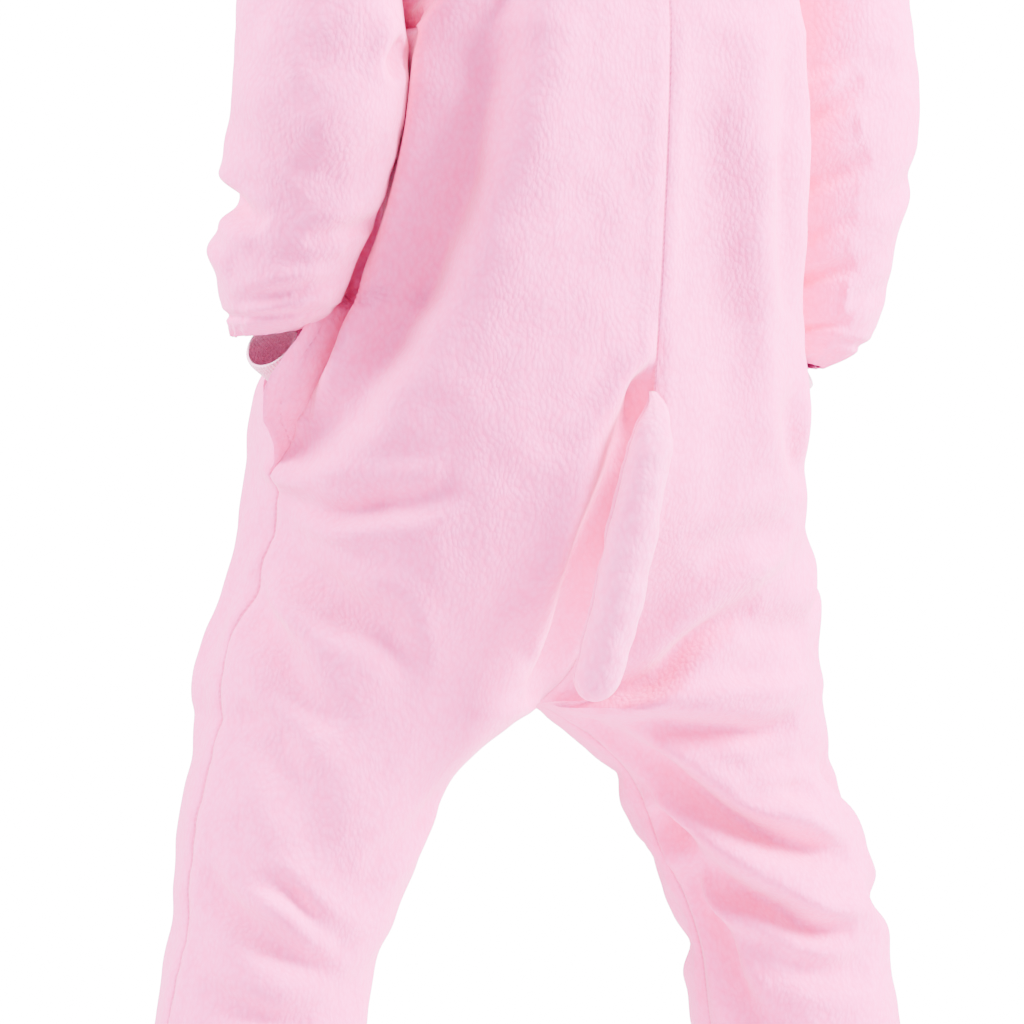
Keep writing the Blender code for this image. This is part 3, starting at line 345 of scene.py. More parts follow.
CREASE_GAIN = 1.6
CREASE_SPREAD = 1.1
CREASE_WANDER = 0.0045
SEAM_START = 0.04
BLUNT_END = 0.35


@dataclass(frozen=True)
class SleeveFold:
    """One crease on a sleeve, as (ring number, turn in degrees) from and to."""

    sides: str
    start: tuple[float, float]
    end: tuple[float, float]
    width: float
    depth: float


LARGE_SLEEVE_FOLDS = (
    *on_side(SleeveFold, "both", (
        ((4.0, 150.0), (5.2, 60.0), 0.018, -0.006),
        ((6.4, -10.0), (7.2, 95.0), 0.016, -0.008),
        ((8.0, -80.0), (7.6, 20.0), 0.016, -0.007),
        ((9.0, 20.0), (9.4, 120.0), 0.014, -0.004),
        ((5.0, -100.0), (6.0, -40.0), 0.018, -0.005),
    )),
)
SLEEVE_CREASES = (
    *on_side(SleeveFold, "left", (
        ((7.4, -60.0), (8.4, 35.0), 0.011, -0.0130),
        ((8.6, -60.0), (9.3, 10.0), 0.014, 0.0070),
        ((3.8, 125.0), (5.0, 112.0), 0.010, -0.0080),
        ((3.6, 108.0), (5.2, 98.0), 0.014, 0.0050),
        ((6.2, 120.0), (7.6, 60.0), 0.020, -0.0060),
        ((7.9, 145.0), (8.7, 70.0), 0.011, -0.0070),
        ((10.2, 5.0), (9.7, 120.0), 0.009, -0.0060),
        ((4.6, 20.0), (6.2, 70.0), 0.018, 0.0040),
    )),
    *on_side(SleeveFold, "right", (
        ((5.9, 205.0), (4.9, 100.0), 0.013, -0.0130),
        ((5.4, 190.0), (4.5, 95.0), 0.014, 0.0055),
        ((7.1, 205.0), (6.2, 100.0), 0.012, -0.0130),
        ((6.5, 190.0), (5.6, 100.0), 0.013, 0.0050),
        ((8.1, 195.0), (7.3, 105.0), 0.013, -0.0080),
        ((9.4, 205.0), (8.4, 100.0), 0.013, -0.0130),
        ((10.0, 195.0), (9.2, 100.0), 0.013, 0.0060),
        ((10.6, 190.0), (10.0, 95.0), 0.009, -0.0080),
    )),
    *on_side(SleeveFold, "both", (
        ((10.6, -170.0), (10.7, 170.0), 0.006, -0.003),
        ((2.0, -60.0), (3.4, -110.0), 0.014, -0.005),
        ((3.0, 30.0), (4.2, -40.0), 0.016, -0.003),
        ((6.0, -150.0), (6.8, -70.0), 0.011, -0.005),
        ((8.8, -150.0), (9.4, -80.0), 0.011, -0.005),
    )),
)


def column(rows: tuple, columns: tuple[str, ...], name: str) -> np.ndarray:
    """Return one named column of a table.

    Args:
        rows: The table's rows.
        columns: The names of its columns.
        name: The column that is wanted.

    Returns:
        The column's values.
    """
    return np.array([row[columns.index(name)] for row in rows], dtype=float)


def smooth(knots: np.ndarray, values: np.ndarray, where: np.ndarray) -> np.ndarray:
    """Interpolate with a cubic whose slopes come from the neighbouring knots.

    Args:
        knots: Places of the known values, in rising or falling order.
        values: The known values.
        where: Places to find values at.

    Returns:
        One value for each place.
    """
    knots, values = np.asarray(knots, dtype=float), np.asarray(values, dtype=float)
    if knots[0] > knots[-1]:
        knots, values = knots[::-1], values[::-1]
    where = np.clip(np.asarray(where, dtype=float), knots[0], knots[-1])
    slopes = np.gradient(values, knots)
    cell = np.clip(np.searchsorted(knots, where) - 1, 0, len(knots) - 2)
    span = knots[cell + 1] - knots[cell]
    t = (where - knots[cell]) / span
    return (
        (2 * t**3 - 3 * t**2 + 1) * values[cell]
        + (t**3 - 2 * t**2 + t) * span * slopes[cell]
        + (3 * t**2 - 2 * t**3) * values[cell + 1]
        + (t**3 - t**2) * span * slopes[cell + 1]
    )


def path(points: np.ndarray, places: np.ndarray) -> np.ndarray:
    """Return points on a smooth line through the given ones.

    Args:
        points: Points of the line, with any further values in later columns.
        places: Shares of the line's length, from 0 to 1.

    Returns:
        One row for each place.
    """
    points = np.asarray(points, dtype=float)
    steps = np.linalg.norm(np.diff(points[:, :3], axis=0), axis=1)
    along = np.concatenate([[0.0], np.cumsum(steps)]) / steps.sum()
    return np.stack([smooth(along, points[:, k], places) for k in range(points.shape[1])], axis=-1)


def unit(vectors: np.ndarray) -> np.ndarray:
    """Return vectors at length one.

    Args:
        vectors: Vectors along the last axis.

    Returns:
        The same directions at length one.
    """
    return vectors / np.maximum(np.linalg.norm(vectors, axis=-1, keepdims=True), 1e-9)


def mirrored(grid: np.ndarray, sign: float) -> np.ndarray:
    """Return a grid of the left half on the side whose sign of X is given."""
    return grid * np.array([sign, 1.0, 1.0])


def bell(place: np.ndarray, middle: float, width: float) -> np.ndarray:
    """Return a soft bump of height one, round a middle and of a half width."""
    return np.exp(-(((place - middle) / width) ** 2))


def lengths_along(grid: np.ndarray, axis: int) -> np.ndarray:
    """Return the length of cloth from the first row or column to each point.

    Args:
        grid: Points as rows and columns.
        axis: 0 down the rows, 1 across the columns.

    Returns:
        One length for each point.
    """
    steps = np.linalg.norm(np.diff(grid, axis=axis), axis=2)
    start = np.zeros_like(steps[:1] if axis == 0 else steps[:, :1])
    return np.concatenate([start, np.cumsum(steps, axis=axis)], axis=axis)


def ripple(points: np.ndarray, size: float, seed: float) -> np.ndarray:
    """Return soft random heights between about -1 and 1 at points in space.

    Args:
        points: Points along the last axis.
        size: Distance over which the heights change, in metres.
        seed: Shift that gives another pattern.

    Returns:
        One height for each point.
    """
    flat = points.reshape(-1, 3) / size + seed
    values = np.fromiter((noise.noise(Vector(p)) for p in flat), dtype=float, count=len(flat))
    return values.reshape(points.shape[:-1]) * 1.8


def fold_profile(distance: np.ndarray, width: float, depth: float) -> np.ndarray:
    """Return a crease's height: a trough with a raised lip on both sides, or a plain ridge.

    Args:
        distance: Distance from the crease line.
        width: Half width of the crease.
        depth: Height at the line, negative in a trough.

    Returns:
        Heights at those distances.
    """
    core = bell(distance, 0.0, width)
    if depth > 0:
        return depth * core
    lips = bell(distance, 1.9 * width, 0.9 * width)
    return depth * (core - 0.35 * lips)


def blunt(share: np.ndarray) -> np.ndarray:
    """Return how strong a large fold is along its length, weaker at both ends."""
    return BLUNT_END + (1 - BLUNT_END) * np.sin(math.pi * share)


def along_lines(
    place_u: np.ndarray, place_v: np.ndarray, line: np.ndarray
) -> tuple[np.ndarray, np.ndarray]:
    """Return the distance from a polyline and the share of its length at the nearest point.

    Args:
        place_u: First coordinates of the places.
        place_v: Second coordinates of the places.
        line: Points of the polyline.

    Returns:
        Distances, and shares from 0 to 1 of the length.
    """
    runs = np.diff(line, axis=0)
    lengths = np.linalg.norm(runs, axis=1)
    total, passed = lengths.sum(), 0.0
    best = np.full(place_u.shape, np.inf)
    share = np.zeros(place_u.shape)
    for start, run, length in zip(line, runs, lengths):
        du, dv = place_u - start[0], place_v - start[1]
        t = np.clip((du * run[0] + dv * run[1]) / length**2, 0.0, 1.0)
        distance = np.hypot(du - t * run[0], dv - t * run[1])
        nearer = distance < best
        best = np.where(nearer, distance, best)
        share = np.where(nearer, (passed + t * length) / total, share)
        passed += length
    return best, share


@dataclass
class SuitForm:
    """The suit's outer form as tables and the surfaces that follow from them."""

    cache: dict[float, tuple[np.ndarray, np.ndarray]] = field(default_factory=dict)

    def section_at(self, z: float) -> dict[str, float]:
        """Return the section sizes at a height.

        Args:
            z: Height.

        Returns:
            Sizes by column name.
        """
        levels = column(SECTIONS, SECTION_COLUMNS, "z")
        sizes = {
            name: float(smooth(levels, column(SECTIONS, SECTION_COLUMNS, name), z))
            for name in SECTION_COLUMNS[1:]
        }
        sizes["out"] = max(0.0, sizes["out"])
        return sizes

    @staticmethod
    def field_at(x: np.ndarray, y: np.ndarray, size: dict[str, float]) -> np.ndarray:
        """Return how far points lie outside a section, 0 on the cloth, with the halves blended.

        Args:
            x: Distances out from the middle plane.
            y: Distances aft.
            size: The section's sizes.

        Returns:
            Signed values, negative inside.
        """
        deep = np.where(y > size["aft"], size["back"], size["front"])
        power = size["square"]
        aft = np.abs((y - size["aft"]) / deep) ** power
        near = (np.abs((x - size["out"]) / size["half"]) ** power + aft) ** (1.0 / power) - 1.0
        far = (np.abs((x + size["out"]) / size["half"]) ** power + aft) ** (1.0 / power) - 1.0
        blend = max(size["blend"], 1e-6)
        share = np.clip(blend - np.abs(near - far), 0.0, None) / blend
        lift = share**2 * blend / 4.0 * min(1.0, size["out"] / 0.04)
        return np.minimum(near, far) - lift

    def edge_angle(self, size: dict[str, float], sign: float) -> float:
        """Return the angle at which a half section's line starts on the middle plane.

        Args:
            size: The section's sizes.
            sign: 1 behind and -1 before.

        Returns:
            Angle about the half's centre.
        """
        if self.field_at(np.array([0.0]), np.array([size["aft"]]), size)[0] >= -1e-4:
            return sign * math.pi
        low, high = 0.0, 0.5
        for _ in range(36):
            middle = (low + high) / 2
            y = size["aft"] + sign * middle
            outside = self.field_at(np.array([0.0]), np.array([y]), size)[0] > 0
            low, high = (low, middle) if outside else (middle, high)
        return math.atan2(sign * low, -size["out"])

    def half_lines(self, z: float) -> tuple[np.ndarray, np.ndarray]:
        """Return the back and front lines of one half section, from the middle to the side.

        Args:
            z: Height.

        Returns:
            Two arrays of points.
        """
        if z in self.cache:
            return self.cache[z]
        size = self.section_at(z)
        lines = []
        for sign in (1.0, -1.0):
            angles = np.linspace(self.edge_angle(size, sign), 0.0, 161)
            low, high = np.zeros_like(angles), np.full_like(angles, 0.5)
            for _ in range(34):
                middle = (low + high) / 2
                x = size["out"] + middle * np.cos(angles)
                y = size["aft"] + middle * np.sin(angles)
                outside = (self.field_at(x, y, size) > 0) | (x < 0)
                high = np.where(outside, middle, high)
                low = np.where(outside, low, middle)
            line = np.stack([size["out"] + low * np.cos(angles), size["aft"] + low * np.sin(angles)], -1)
            line[:, 0] = np.clip(line[:, 0], 0.0, None)
            lines.append(line)
        self.cache[z] = (lines[0], lines[1])
        return self.cache[z]

    def girth(self, z: float) -> float:
        """Return the length of one half section.

        Args:
            z: Height.

        Returns:
            Length in metres.
        """
        lines = self.half_lines(z)
        return float(sum(np.linalg.norm(np.diff(line, axis=0), axis=1).sum() for line in lines))

    def points_at(self, z: float, arounds: np.ndarray) -> np.ndarray:
        """Return points of the left half section.

        Args:
            z: Height.
            arounds: Places around the half, from 0 to 1.

        Returns:
            Points in space.
        """
        back, front = self.half_lines(z)
        result = np.zeros((len(arounds), 3))
        result[:, 2] = z
        for line, chosen, places in (
            (back, arounds <= 0.5, arounds * 2),
            (front, arounds > 0.5, (1 - arounds) * 2),
        ):
            steps = np.linalg.norm(np.diff(line, axis=0), axis=1)
            along = np.concatenate([[0.0], np.cumsum(steps)]) / steps.sum()
            for k in range(2):
                result[chosen, k] = np.interp(places[chosen], along, line[:, k])
        return result

    def normals_at(self, points: np.ndarray, z: float) -> np.ndarray:
        """Return outward directions of the blended sections, slope in height included.

        Args:
            points: Points on the section.
            z: Their height.

        Returns:
            Unit vectors.
        """
        step = 1e-4
        size, above, below = self.section_at(z), self.section_at(z + step), self.section_at(z - step)
        x, y = points[:, 0], points[:, 1]
        slope = np.stack([
            self.field_at(x + step, y, size) - self.field_at(x - step, y, size),
            self.field_at(x, y + step, size) - self.field_at(x, y - step, size),
            self.field_at(x, y, above) - self.field_at(x, y, below),
        ], axis=-1)
        return unit(slope)

    def press_in(self, points: np.ndarray, side: Side) -> np.ndarray:
        """Keep the trunk clear of the sleeve that hangs against it.

        Args:
            points: Points of a grid on the left half.
            side: Whose sleeve it is.

        Returns:
            The points, moved in where the sleeve lies.
        """
        z = points[..., 2]
        inner_z = column(SLEEVE_RINGS, RING_COLUMNS, "inner_z")
        drop = side.sleeve_drop * np.clip((-0.36 - z) / 0.14, 0.0, 1.0)
        height = np.clip(z + drop, inner_z[-1], inner_z[0])
        inner, outer, aft, deep = (
            smooth(inner_z, column(SLEEVE_RINGS, RING_COLUMNS, name), height)
            for name in ("inner_x", "outer_x", "aft", "deep")
        )
        half = (outer - inner) / 2
        share = np.clip(1 - ((points[..., 1] - aft) / (deep + 0.012)) ** 2, 0.0, 1.0)
        limit = inner + half * (1 - np.sqrt(share)) - 0.0045
        fade = np.clip((z - (inner_z[-1] - 0.012 - drop)) / 0.012, 0.0, 1.0)
        fade = fade * np.clip((CHEST_LEVEL + 0.02 - z) / 0.02, 0.0, 1.0)
        over = points[..., 0] - limit
        cut = 0.5 * (over + np.sqrt(over**2 + 0.006**2)) * fade * (share > 0)
        moved = points.copy()
        moved[..., 0] = np.where(points[..., 0] > 0.05, points[..., 0] - cut, points[..., 0])
        return moved

    def fold_height(self, side: Side, around: np.ndarray, z: np.ndarray, girth: np.ndarray) -> np.ndarray:
        """Return how far all folds move the cloth out.

        Args:
            side: The wearer's side.
            around: Places around the half.
            z: Heights.
            girth: Length of the half section at each place.

        Returns:
            Heights in metres, negative in a trough.
        """
        u, v = (around - 0.5) * girth, z
        spots = np.stack([u * side.sign, v, np.zeros_like(u)], -1)
        wander_u = ripple(spots, 0.055, 3.1) * CREASE_WANDER
        wander_v = ripple(spots, 0.060, 9.7) * CREASE_WANDER
        total = np.zeros_like(u)
        leg = np.clip((CROTCH_LEVEL - z) / 0.012, 0.0, 1.0)
        for wrap, share_of in ((0.0, 1.0), (-1.0, leg), (1.0, leg)):
            turned = u + wrap * girth
            for fold in LARGE_FOLDS:
                if fold.sides in (side.value, "both"):
                    distance, share = along_lines(turned, v, self.fold_line(fold, girth, z))
                    body = bell(distance, 0.0, fold.width) * blunt(share)
                    total += fold.depth * body * share_of
            for fold in CREASES:
                if fold.sides in (side.value, "both"):
                    line = self.fold_line(fold, girth, z)
                    distance, share = along_lines(turned + wander_u, v + wander_v, line)
                    ends = np.sin(math.pi * np.clip(share, 0.0, 1.0)) ** 0.6
                    if fold.places[0][0] < SEAM_START:
                        ends = np.maximum(ends, 1.0 - share * 2)
                    shape = fold_profile(distance, CREASE_SPREAD * fold.width, fold.depth)
                    total += CREASE_GAIN * shape * ends * share_of
        return total

    @staticmethod
    def fold_line(fold: Fold, girth: np.ndarray, z: np.ndarray) -> np.ndarray:
        """Return a fold's line in metres over the cloth.

        Args:
            fold: The fold.
            girth: Length of the half section at each height of the grid.
            z: The heights that the girths belong to.

        Returns:
            Points (along the girth, height).
        """
        levels, lengths = z[:, 0], girth[:, 0]
        places = np.array(fold.places)
        shares = np.linspace(0, 1, 2 * len(places) + 3)
        dense = path(np.column_stack([places, np.zeros(len(places))]), shares)
        return np.stack([(dense[:, 0] - 0.5) * np.interp(dense[:, 1], levels, lengths), dense[:, 1]], -1)


def linked(data: bpy.types.ID) -> bpy.types.Object:
    """Put a mesh, lens or light into the scene under its own name.

    Args:
        data: The mesh, lens or light.

    Returns:
        The new object.
    """
    made = bpy.data.objects.new(data.name, data)
    bpy.context.scene.collection.objects.link(made)
    return made


def face_out(mesh: bpy.types.Mesh) -> None:
    """Turn every face of a closed mesh outwards.

    Args:
        mesh: The mesh.
    """
    shape = bmesh.new()
    shape.from_mesh(mesh)
    bmesh.ops.recalc_face_normals(shape, faces=shape.faces)
    shape.to_mesh(mesh)
    shape.free()


def mesh_from(shape: bmesh.types.BMesh, name: str) -> bpy.types.Mesh:
    """Return a mesh of what was built, and free the builder.

    Args:
        shape: The builder.
        name: The mesh's name.

    Returns:
        The mesh.
    """
    mesh = bpy.data.meshes.new(name)
    shape.to_mesh(mesh)
    shape.free()
    return mesh


def dressed(piece: bpy.types.Object, node: str) -> bpy.types.Object:
    """Ride a piece on the body in place of its solid.

    Args:
        piece: The piece.
        node: The solid's node.

    Returns:
        The piece.
    """
    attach(piece, "root")
    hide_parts(node)
    return piece


def grid_normals(grid: np.ndarray, closed: bool) -> np.ndarray:
    """Return unit directions square to a grid of points.

    Args:
        grid: Points as rows and columns.
        closed: Whether the last column meets the first.

    Returns:
        One direction for each point.
    """
    if closed:
        wide = np.concatenate([grid[:, -2:], grid, grid[:, :2]], axis=1)
        across = np.gradient(wide, axis=1)[:, 2:-2]
    else:
        across = np.gradient(grid, axis=1)
    return unit(np.cross(across, np.gradient(grid, axis=0)))


@dataclass
class Shell:
    """A thin sheet between an outer grid and the same grid moved in by its thickness."""

    name: str
    outer: np.ndarray
    closed: bool = False
    thick: float = CLOTH
    middle: tuple[float, float, float] = (0.0, 0.0, 0.0)
    marks: dict[str, np.ndarray] = field(default_factory=dict)
    keep_half: float = 0.0

    def skins(self) -> tuple[np.ndarray, np.ndarray]:
        """Return the outer and inner grids.

        Returns:
            Two grids of points.
        """
        normals = grid_normals(self.outer, self.closed)
        if (normals * (self.outer - np.array(self.middle))).sum() < 0:
            normals = -normals
        inner = self.outer - normals * self.thick
        if self.keep_half:
            limit = self.keep_half * SEAM_GAP / 2
            across = np.maximum(inner[..., 0] * self.keep_half, limit * self.keep_half)
            inner[..., 0] = across * self.keep_half
        return self.outer, inner

    def faces(self) -> np.ndarray:
        """Return the corners of every face, skins first and rims after.

        Returns:
            Rows of four vertex numbers.
        """
        rows, columns = self.outer.shape[:2]
        numbers = np.arange(rows * columns).reshape(rows, columns)
        if self.closed:
            numbers = np.concatenate([numbers, numbers[:, :1]], axis=1)
        a, b, c, d = numbers[:-1, :-1], numbers[:-1, 1:], numbers[1:, 1:], numbers[1:, :-1]
        skin = np.stack([a, b, c, d], -1).reshape(-1, 4)
        shift = rows * columns
        under = skin[:, ::-1] + shift
        edges = [(numbers[0], 1), (numbers[-1], -1)]
        if not self.closed:
            edges += [(numbers[:, 0], -1), (numbers[:, -1], 1)]
        rims = []
        for line, turn in edges:
            rim = np.stack([line[:-1], line[:-1] + shift, line[1:] + shift, line[1:]], -1)
            rims.append(rim[:, ::turn])
        return np.concatenate([skin, under, *rims])

    def build(self, finish: bpy.types.Material) -> bpy.types.Object:
        """Make the sheet as an object.

        Args:
            finish: Its material.

        Returns:
            The new object.
        """
        outer, inner = self.skins()
        vertices = np.concatenate([outer.reshape(-1, 3), inner.reshape(-1, 3)])
        mesh = bpy.data.meshes.new(self.name)
        mesh.from_pydata(vertices.tolist(), [], self.faces().tolist())
        for mark, values in self.marks.items():
            layer = mesh.attributes.new(mark, "FLOAT", "POINT")
            flat = values.reshape(-1)
            layer.data.foreach_set("value", np.concatenate([flat, flat]).astype(np.float32))
        face_out(mesh)
        mesh.shade_smooth()
        mesh.set_sharp_from_angle(angle=math.radians(65))
        mesh.materials.append(finish)
        LOG.info("%s: %d faces", self.name, len(mesh.polygons))
        return linked(mesh)


def with_margins(count: int, length: float) -> np.ndarray:
    """Return shares of a row's length, crowded towards both ends where the seams are.

    Args:
        count: How many even places lie between the margins.
        length: The row's length.

    Returns:
        Shares from 0 to 1.
    """
    near = np.array([0.0, 0.0011, 0.0024, 0.0042, 0.0068]) / length
    inner = np.linspace(0.0098 / length, 1 - 0.0098 / length, count)
    return np.concatenate([near, inner, 1 - near[::-1]])


@dataclass
class BodyPanel:
    """One of the four body panels, shoulder to ankle."""

    form: SuitForm
    side: Side
    face: Face
    columns: int = 72
    row_step: float = 0.0046
    yoke_rows: int = 56
    groove: float = 0.0010
    groove_width: float = 0.0019
    swell: float = 0.0016
    swell_place: float = 0.010
    swell_width: float = 0.007
    bulge: float = 0.0022
    bulge_size: float = 0.085
    dimple: float = 0.0010
    dimple_size: float = 0.030
    open_gap: float = 0.003
    pucker: float = 0.0007
    seam_reach: float = 0.014
    hem_roll: float = 0.0016
    hem_stitch: float = 0.0085
    made: np.ndarray | None = None

    def mouth(self, z: float, name: str) -> float:
        """Return how far an edge of the pocket mouth stands back from the side seam.

        Args:
            z: Height.
            name: The edge's column in the table.

        Returns:
            Distance in metres.
        """
        levels, gaps = (column(POCKET_MOUTH, POCKET_COLUMNS, label) for label in ("z", name))
        return float(np.interp(-(z + self.side.sleeve_drop), -levels, gaps))

    def levels(self) -> np.ndarray:
        """Return the heights of the rows below the chest, ankle first.

        Returns:
            Rising heights.
        """
        below = np.arange(ANKLE_LEVEL, CROTCH_LEVEL - self.row_step / 2, self.row_step)
        count = round((CHEST_LEVEL - CROTCH_LEVEL) / self.row_step)
        return np.concatenate([below, np.linspace(CROTCH_LEVEL, CHEST_LEVEL, count + 1)])

    def row(self, z: float) -> tuple[np.ndarray, np.ndarray, np.ndarray, float]:
        """Return one row of the plain form.

        Args:
            z: Height.

        Returns:
            Points, outward directions, places around, and the girth of the half.
        """
        girth = self.form.girth(z)
        nip = SEAM_GAP / 2 / girth
        start = nip if z < CROTCH_LEVEL + 1e-6 else 0.0
        if self.face is Face.BACK:
            first, last = start, 0.5 - nip - self.mouth(z, "panel") / girth
        else:
            first, last = 0.5 + nip + self.mouth(z, "front") / girth, 1.0 - start
        arounds = first + (last - first) * with_margins(self.columns, (last - first) * girth)
        points = self.form.points_at(z, arounds)
        normals = self.form.normals_at(points, z)
        on_seam = points[:, 0] < SEAM_GAP
        if z > CROTCH_LEVEL + 1e-6:
            normals[on_seam, 0] = 0.0
        return points, unit(normals), arounds, girth

    @staticmethod
    def armhole_point(turn: float) -> np.ndarray:
        """Return a point of the armhole.

        Args:
            turn: Angle, 0 at the shoulder tip and a quarter turn behind.

        Returns:
            A point.
        """
        ring = dict(zip(RING_COLUMNS, SLEEVE_RINGS[0]))
        c, s = math.cos(turn), math.sin(turn)
        x = (ring["outer_x"] + ring["inner_x"]) / 2 + (ring["outer_x"] - ring["inner_x"]) / 2 * c
        z = (ring["outer_z"] + ring["inner_z"]) / 2 + (ring["outer_z"] - ring["inner_z"]) / 2 * c
        return np.array([x - 0.012 * s * s - SEAM_GAP, ring["aft"] + ring["deep"] * s, z])

    def yoke(self, bottom: np.ndarray, shares: np.ndarray) -> np.ndarray:
        """Return the rows from the chest up to the neckline and shoulder seam.

        Args:
            bottom: The chest row, from the middle seam to the side.
            shares: Places of its columns, from 0 at the middle seam to 1.

        Returns:
            A grid of points, chest row first.
        """
        sign = 1 if self.face is Face.BACK else -1
        middle_points = BACK_MIDDLE if self.face is Face.BACK else FRONT_MIDDLE
        steps = np.linspace(0, 1, self.yoke_rows + 1)
        middle = path(middle_points, steps)
        middle[:, 0] = SEAM_GAP / 2
        middle[:, 1] += (bottom[0, 1] - middle[0, 1]) * (1 - steps)
        gap = np.array([0.0, sign * SEAM_GAP / 2, 0.0])
        turns = np.linspace(math.pi, 0.0, len(steps))
        armhole = np.array([self.armhole_point(sign * turn) + gap for turn in turns])
        armhole += (bottom[-1] - armhole[0]) * (1 - steps[:, None]) ** 3
        neck, tip = np.array(NECK_SIDE) + gap, armhole[-1]
        angle = np.clip(shares / NECK_SHARE, 0, 1) * math.pi / 2
        t = np.clip((shares - NECK_SHARE) / (1 - NECK_SHARE), 0, 1)[:, None]
        line = np.stack([
            np.maximum(SEAM_GAP / 2, neck[0] * np.sin(angle)),
            neck[1] + (middle[-1, 1] - neck[1]) * np.cos(angle),
            neck[2] + (middle[-1, 2] - neck[2]) * np.cos(angle),
        ], -1)
        shoulder = neck + (tip - neck) * t + np.array([0, 0, 0.006]) * np.sin(math.pi * t)
        top = np.where(shares[:, None] <= NECK_SHARE, line, shoulder)
        u, v = shares[None, :, None], steps[:, None, None]
        grid = (
            (1 - v) * bottom[None] + v * top[None] + (1 - u) * middle[:, None] + u * armhole[:, None]
            - (1 - u) * (1 - v) * bottom[0] - u * (1 - v) * bottom[-1]
            - (1 - u) * v * top[0] - u * v * top[-1]
        )
        grid[:, 0, 0] = SEAM_GAP / 2
        return grid

    def plain_grid(self) -> tuple[np.ndarray, np.ndarray, np.ndarray, np.ndarray]:
        """Return the panel without its creases.

        Returns:
            Points, outward directions, places around and girths, as grids from the ankle up.
        """
        rows, ways, arounds, girths = [], [], [], []
        for z in self.levels():
            points, normals, places, girth = self.row(float(z))
            rows.append(points)
            ways.append(normals)
            arounds.append(places)
            girths.append(np.full(len(places), girth))
        order = 1 if self.face is Face.BACK else -1
        bottom = rows[-1][::order]
        length = np.abs(arounds[-1][-1] - arounds[-1][0]) * girths[-1][0]
        yoke = self.yoke(bottom, with_margins(self.columns, length))[1:, ::order]
        middle = yoke[len(yoke) // 2, yoke.shape[1] // 2]
        yoke_ways = grid_normals(yoke, closed=False)
        if yoke_ways[len(yoke) // 2, yoke.shape[1] // 2] @ (middle - np.array([0.0, 0.04, -0.2])) < 0:
            yoke_ways = -yoke_ways
        count = len(yoke)
        blend = np.clip(np.arange(1, count + 1) / 12, 0, 1)[:, None, None]
        yoke_ways = unit((1 - blend) * ways[-1][None] + blend * yoke_ways)
        grid = np.concatenate([np.array(rows), yoke])
        normals = np.concatenate([np.array(ways), yoke_ways])
        around = np.concatenate([np.array(arounds), np.repeat(arounds[-1][None], count, axis=0)])
        girth = np.concatenate([np.array(girths), np.repeat(girths[-1][None], count, axis=0)])
        return grid, normals, around, girth

    def seam_distances(self, grid: np.ndarray) -> tuple[np.ndarray, np.ndarray, np.ndarray]:
        """Return how far each point lies from the middle seam edge, the side edge and the top.

        Args:
            grid: The panel's points.

        Returns:
            Three grids of distances.
        """
        along, up = lengths_along(grid, 1), lengths_along(grid, 0)
        first, last = along, along[:, -1:] - along
        middle, side = (first, last) if self.face is Face.BACK else (last, first)
        return middle, side, up[-1:] - up

    def corrections(self, around: np.ndarray, z: np.ndarray, girth: np.ndarray) -> np.ndarray:
        """Return the broad fullness that differs between the sides.

        Args:
            around: Places around the half.
            z: Heights.
            girth: Length of the half section at each place.

        Returns:
            Heights in metres.
        """
        centre, spread = (-0.080, 0.100) if self.side is Side.RIGHT else (0.060, 0.100)
        table = np.array(RIGHT_FULLNESS if self.side is Side.RIGHT else LEFT_FULLNESS)
        place = (around - 0.5) * girth
        return smooth(table[:, 0], table[:, 1], z) * bell(place, centre, spread)

    def grid(self) -> tuple[np.ndarray, dict[str, np.ndarray]]:
        """Return the finished outer grid of the left half and its marks.

        Returns:
            Points, and values for the finish.
        """
        grid, normals, around, girth = self.plain_grid()
        z = grid[..., 2]
        middle, side, top = self.seam_distances(grid)
        height = self.form.fold_height(self.side, around, z, girth) + self.corrections(around, z, girth)
        world = mirrored(grid, self.side.sign)
        height += (
            self.bulge * ripple(world, self.bulge_size, 1.7)
            + self.dimple * ripple(world, self.dimple_size, 5.2)
        )
        edge_name = "panel" if self.face is Face.BACK else "front"
        gaps = [self.mouth(float(level), edge_name) for level in z[:, 0]]
        mouth = (np.array(gaps) > self.open_gap)[:, None]
        seam = np.minimum(np.minimum(middle, np.where(mouth, 1.0, side)), top)
        roll = bell(side, 0.0035, 0.004) - bell(side, self.hem_stitch, 0.0016)
        height += np.where(mouth, self.hem_roll * roll, 0.0)
        height += self.pucker * ripple(world, 0.011, 8.8) * bell(seam, 0.0, 0.016)
        height += self.swell * bell(seam, self.swell_place, self.swell_width)
        height -= self.groove * bell(seam, 0.0, self.groove_width)
        inseam = np.clip(middle / self.seam_reach, 0.0, 1.0) ** 0.7
        height = height * inseam - np.where(z < CROTCH_LEVEL, self.groove * (1 - inseam), 0.0)
        keep = np.clip(side / 0.02, 0.25, 1.0)
        keep = np.where(z > CHEST_LEVEL, keep * np.clip(top / 0.05, 0.0, 1.0), keep)
        height = np.where(z > CHEST_LEVEL - 0.02, height * keep, height)
        ankle = np.clip((z - ANKLE_LEVEL) / 0.02, 0.0, 1.0)
        push = normals * (height * ankle)[..., None]
        push[..., 2] *= RISE_SHARE
        moved = grid + push
        edge = 0 if self.face is Face.BACK else -1
        on_trunk = z[:, edge] > CROTCH_LEVEL - 1e-6
        moved[:, edge, 0] = np.where(on_trunk, grid[:, edge, 0], moved[:, edge, 0])
        moved = self.form.press_in(moved, self.side)
        moved[..., 0] = np.maximum(moved[..., 0], SEAM_GAP / 2)
        stitch = np.where(mouth, np.abs(side - self.hem_stitch), 1.0)
        marks = {"seam": np.minimum(seam, FAR), "run": lengths_along(moved, 0), "stitch": stitch}
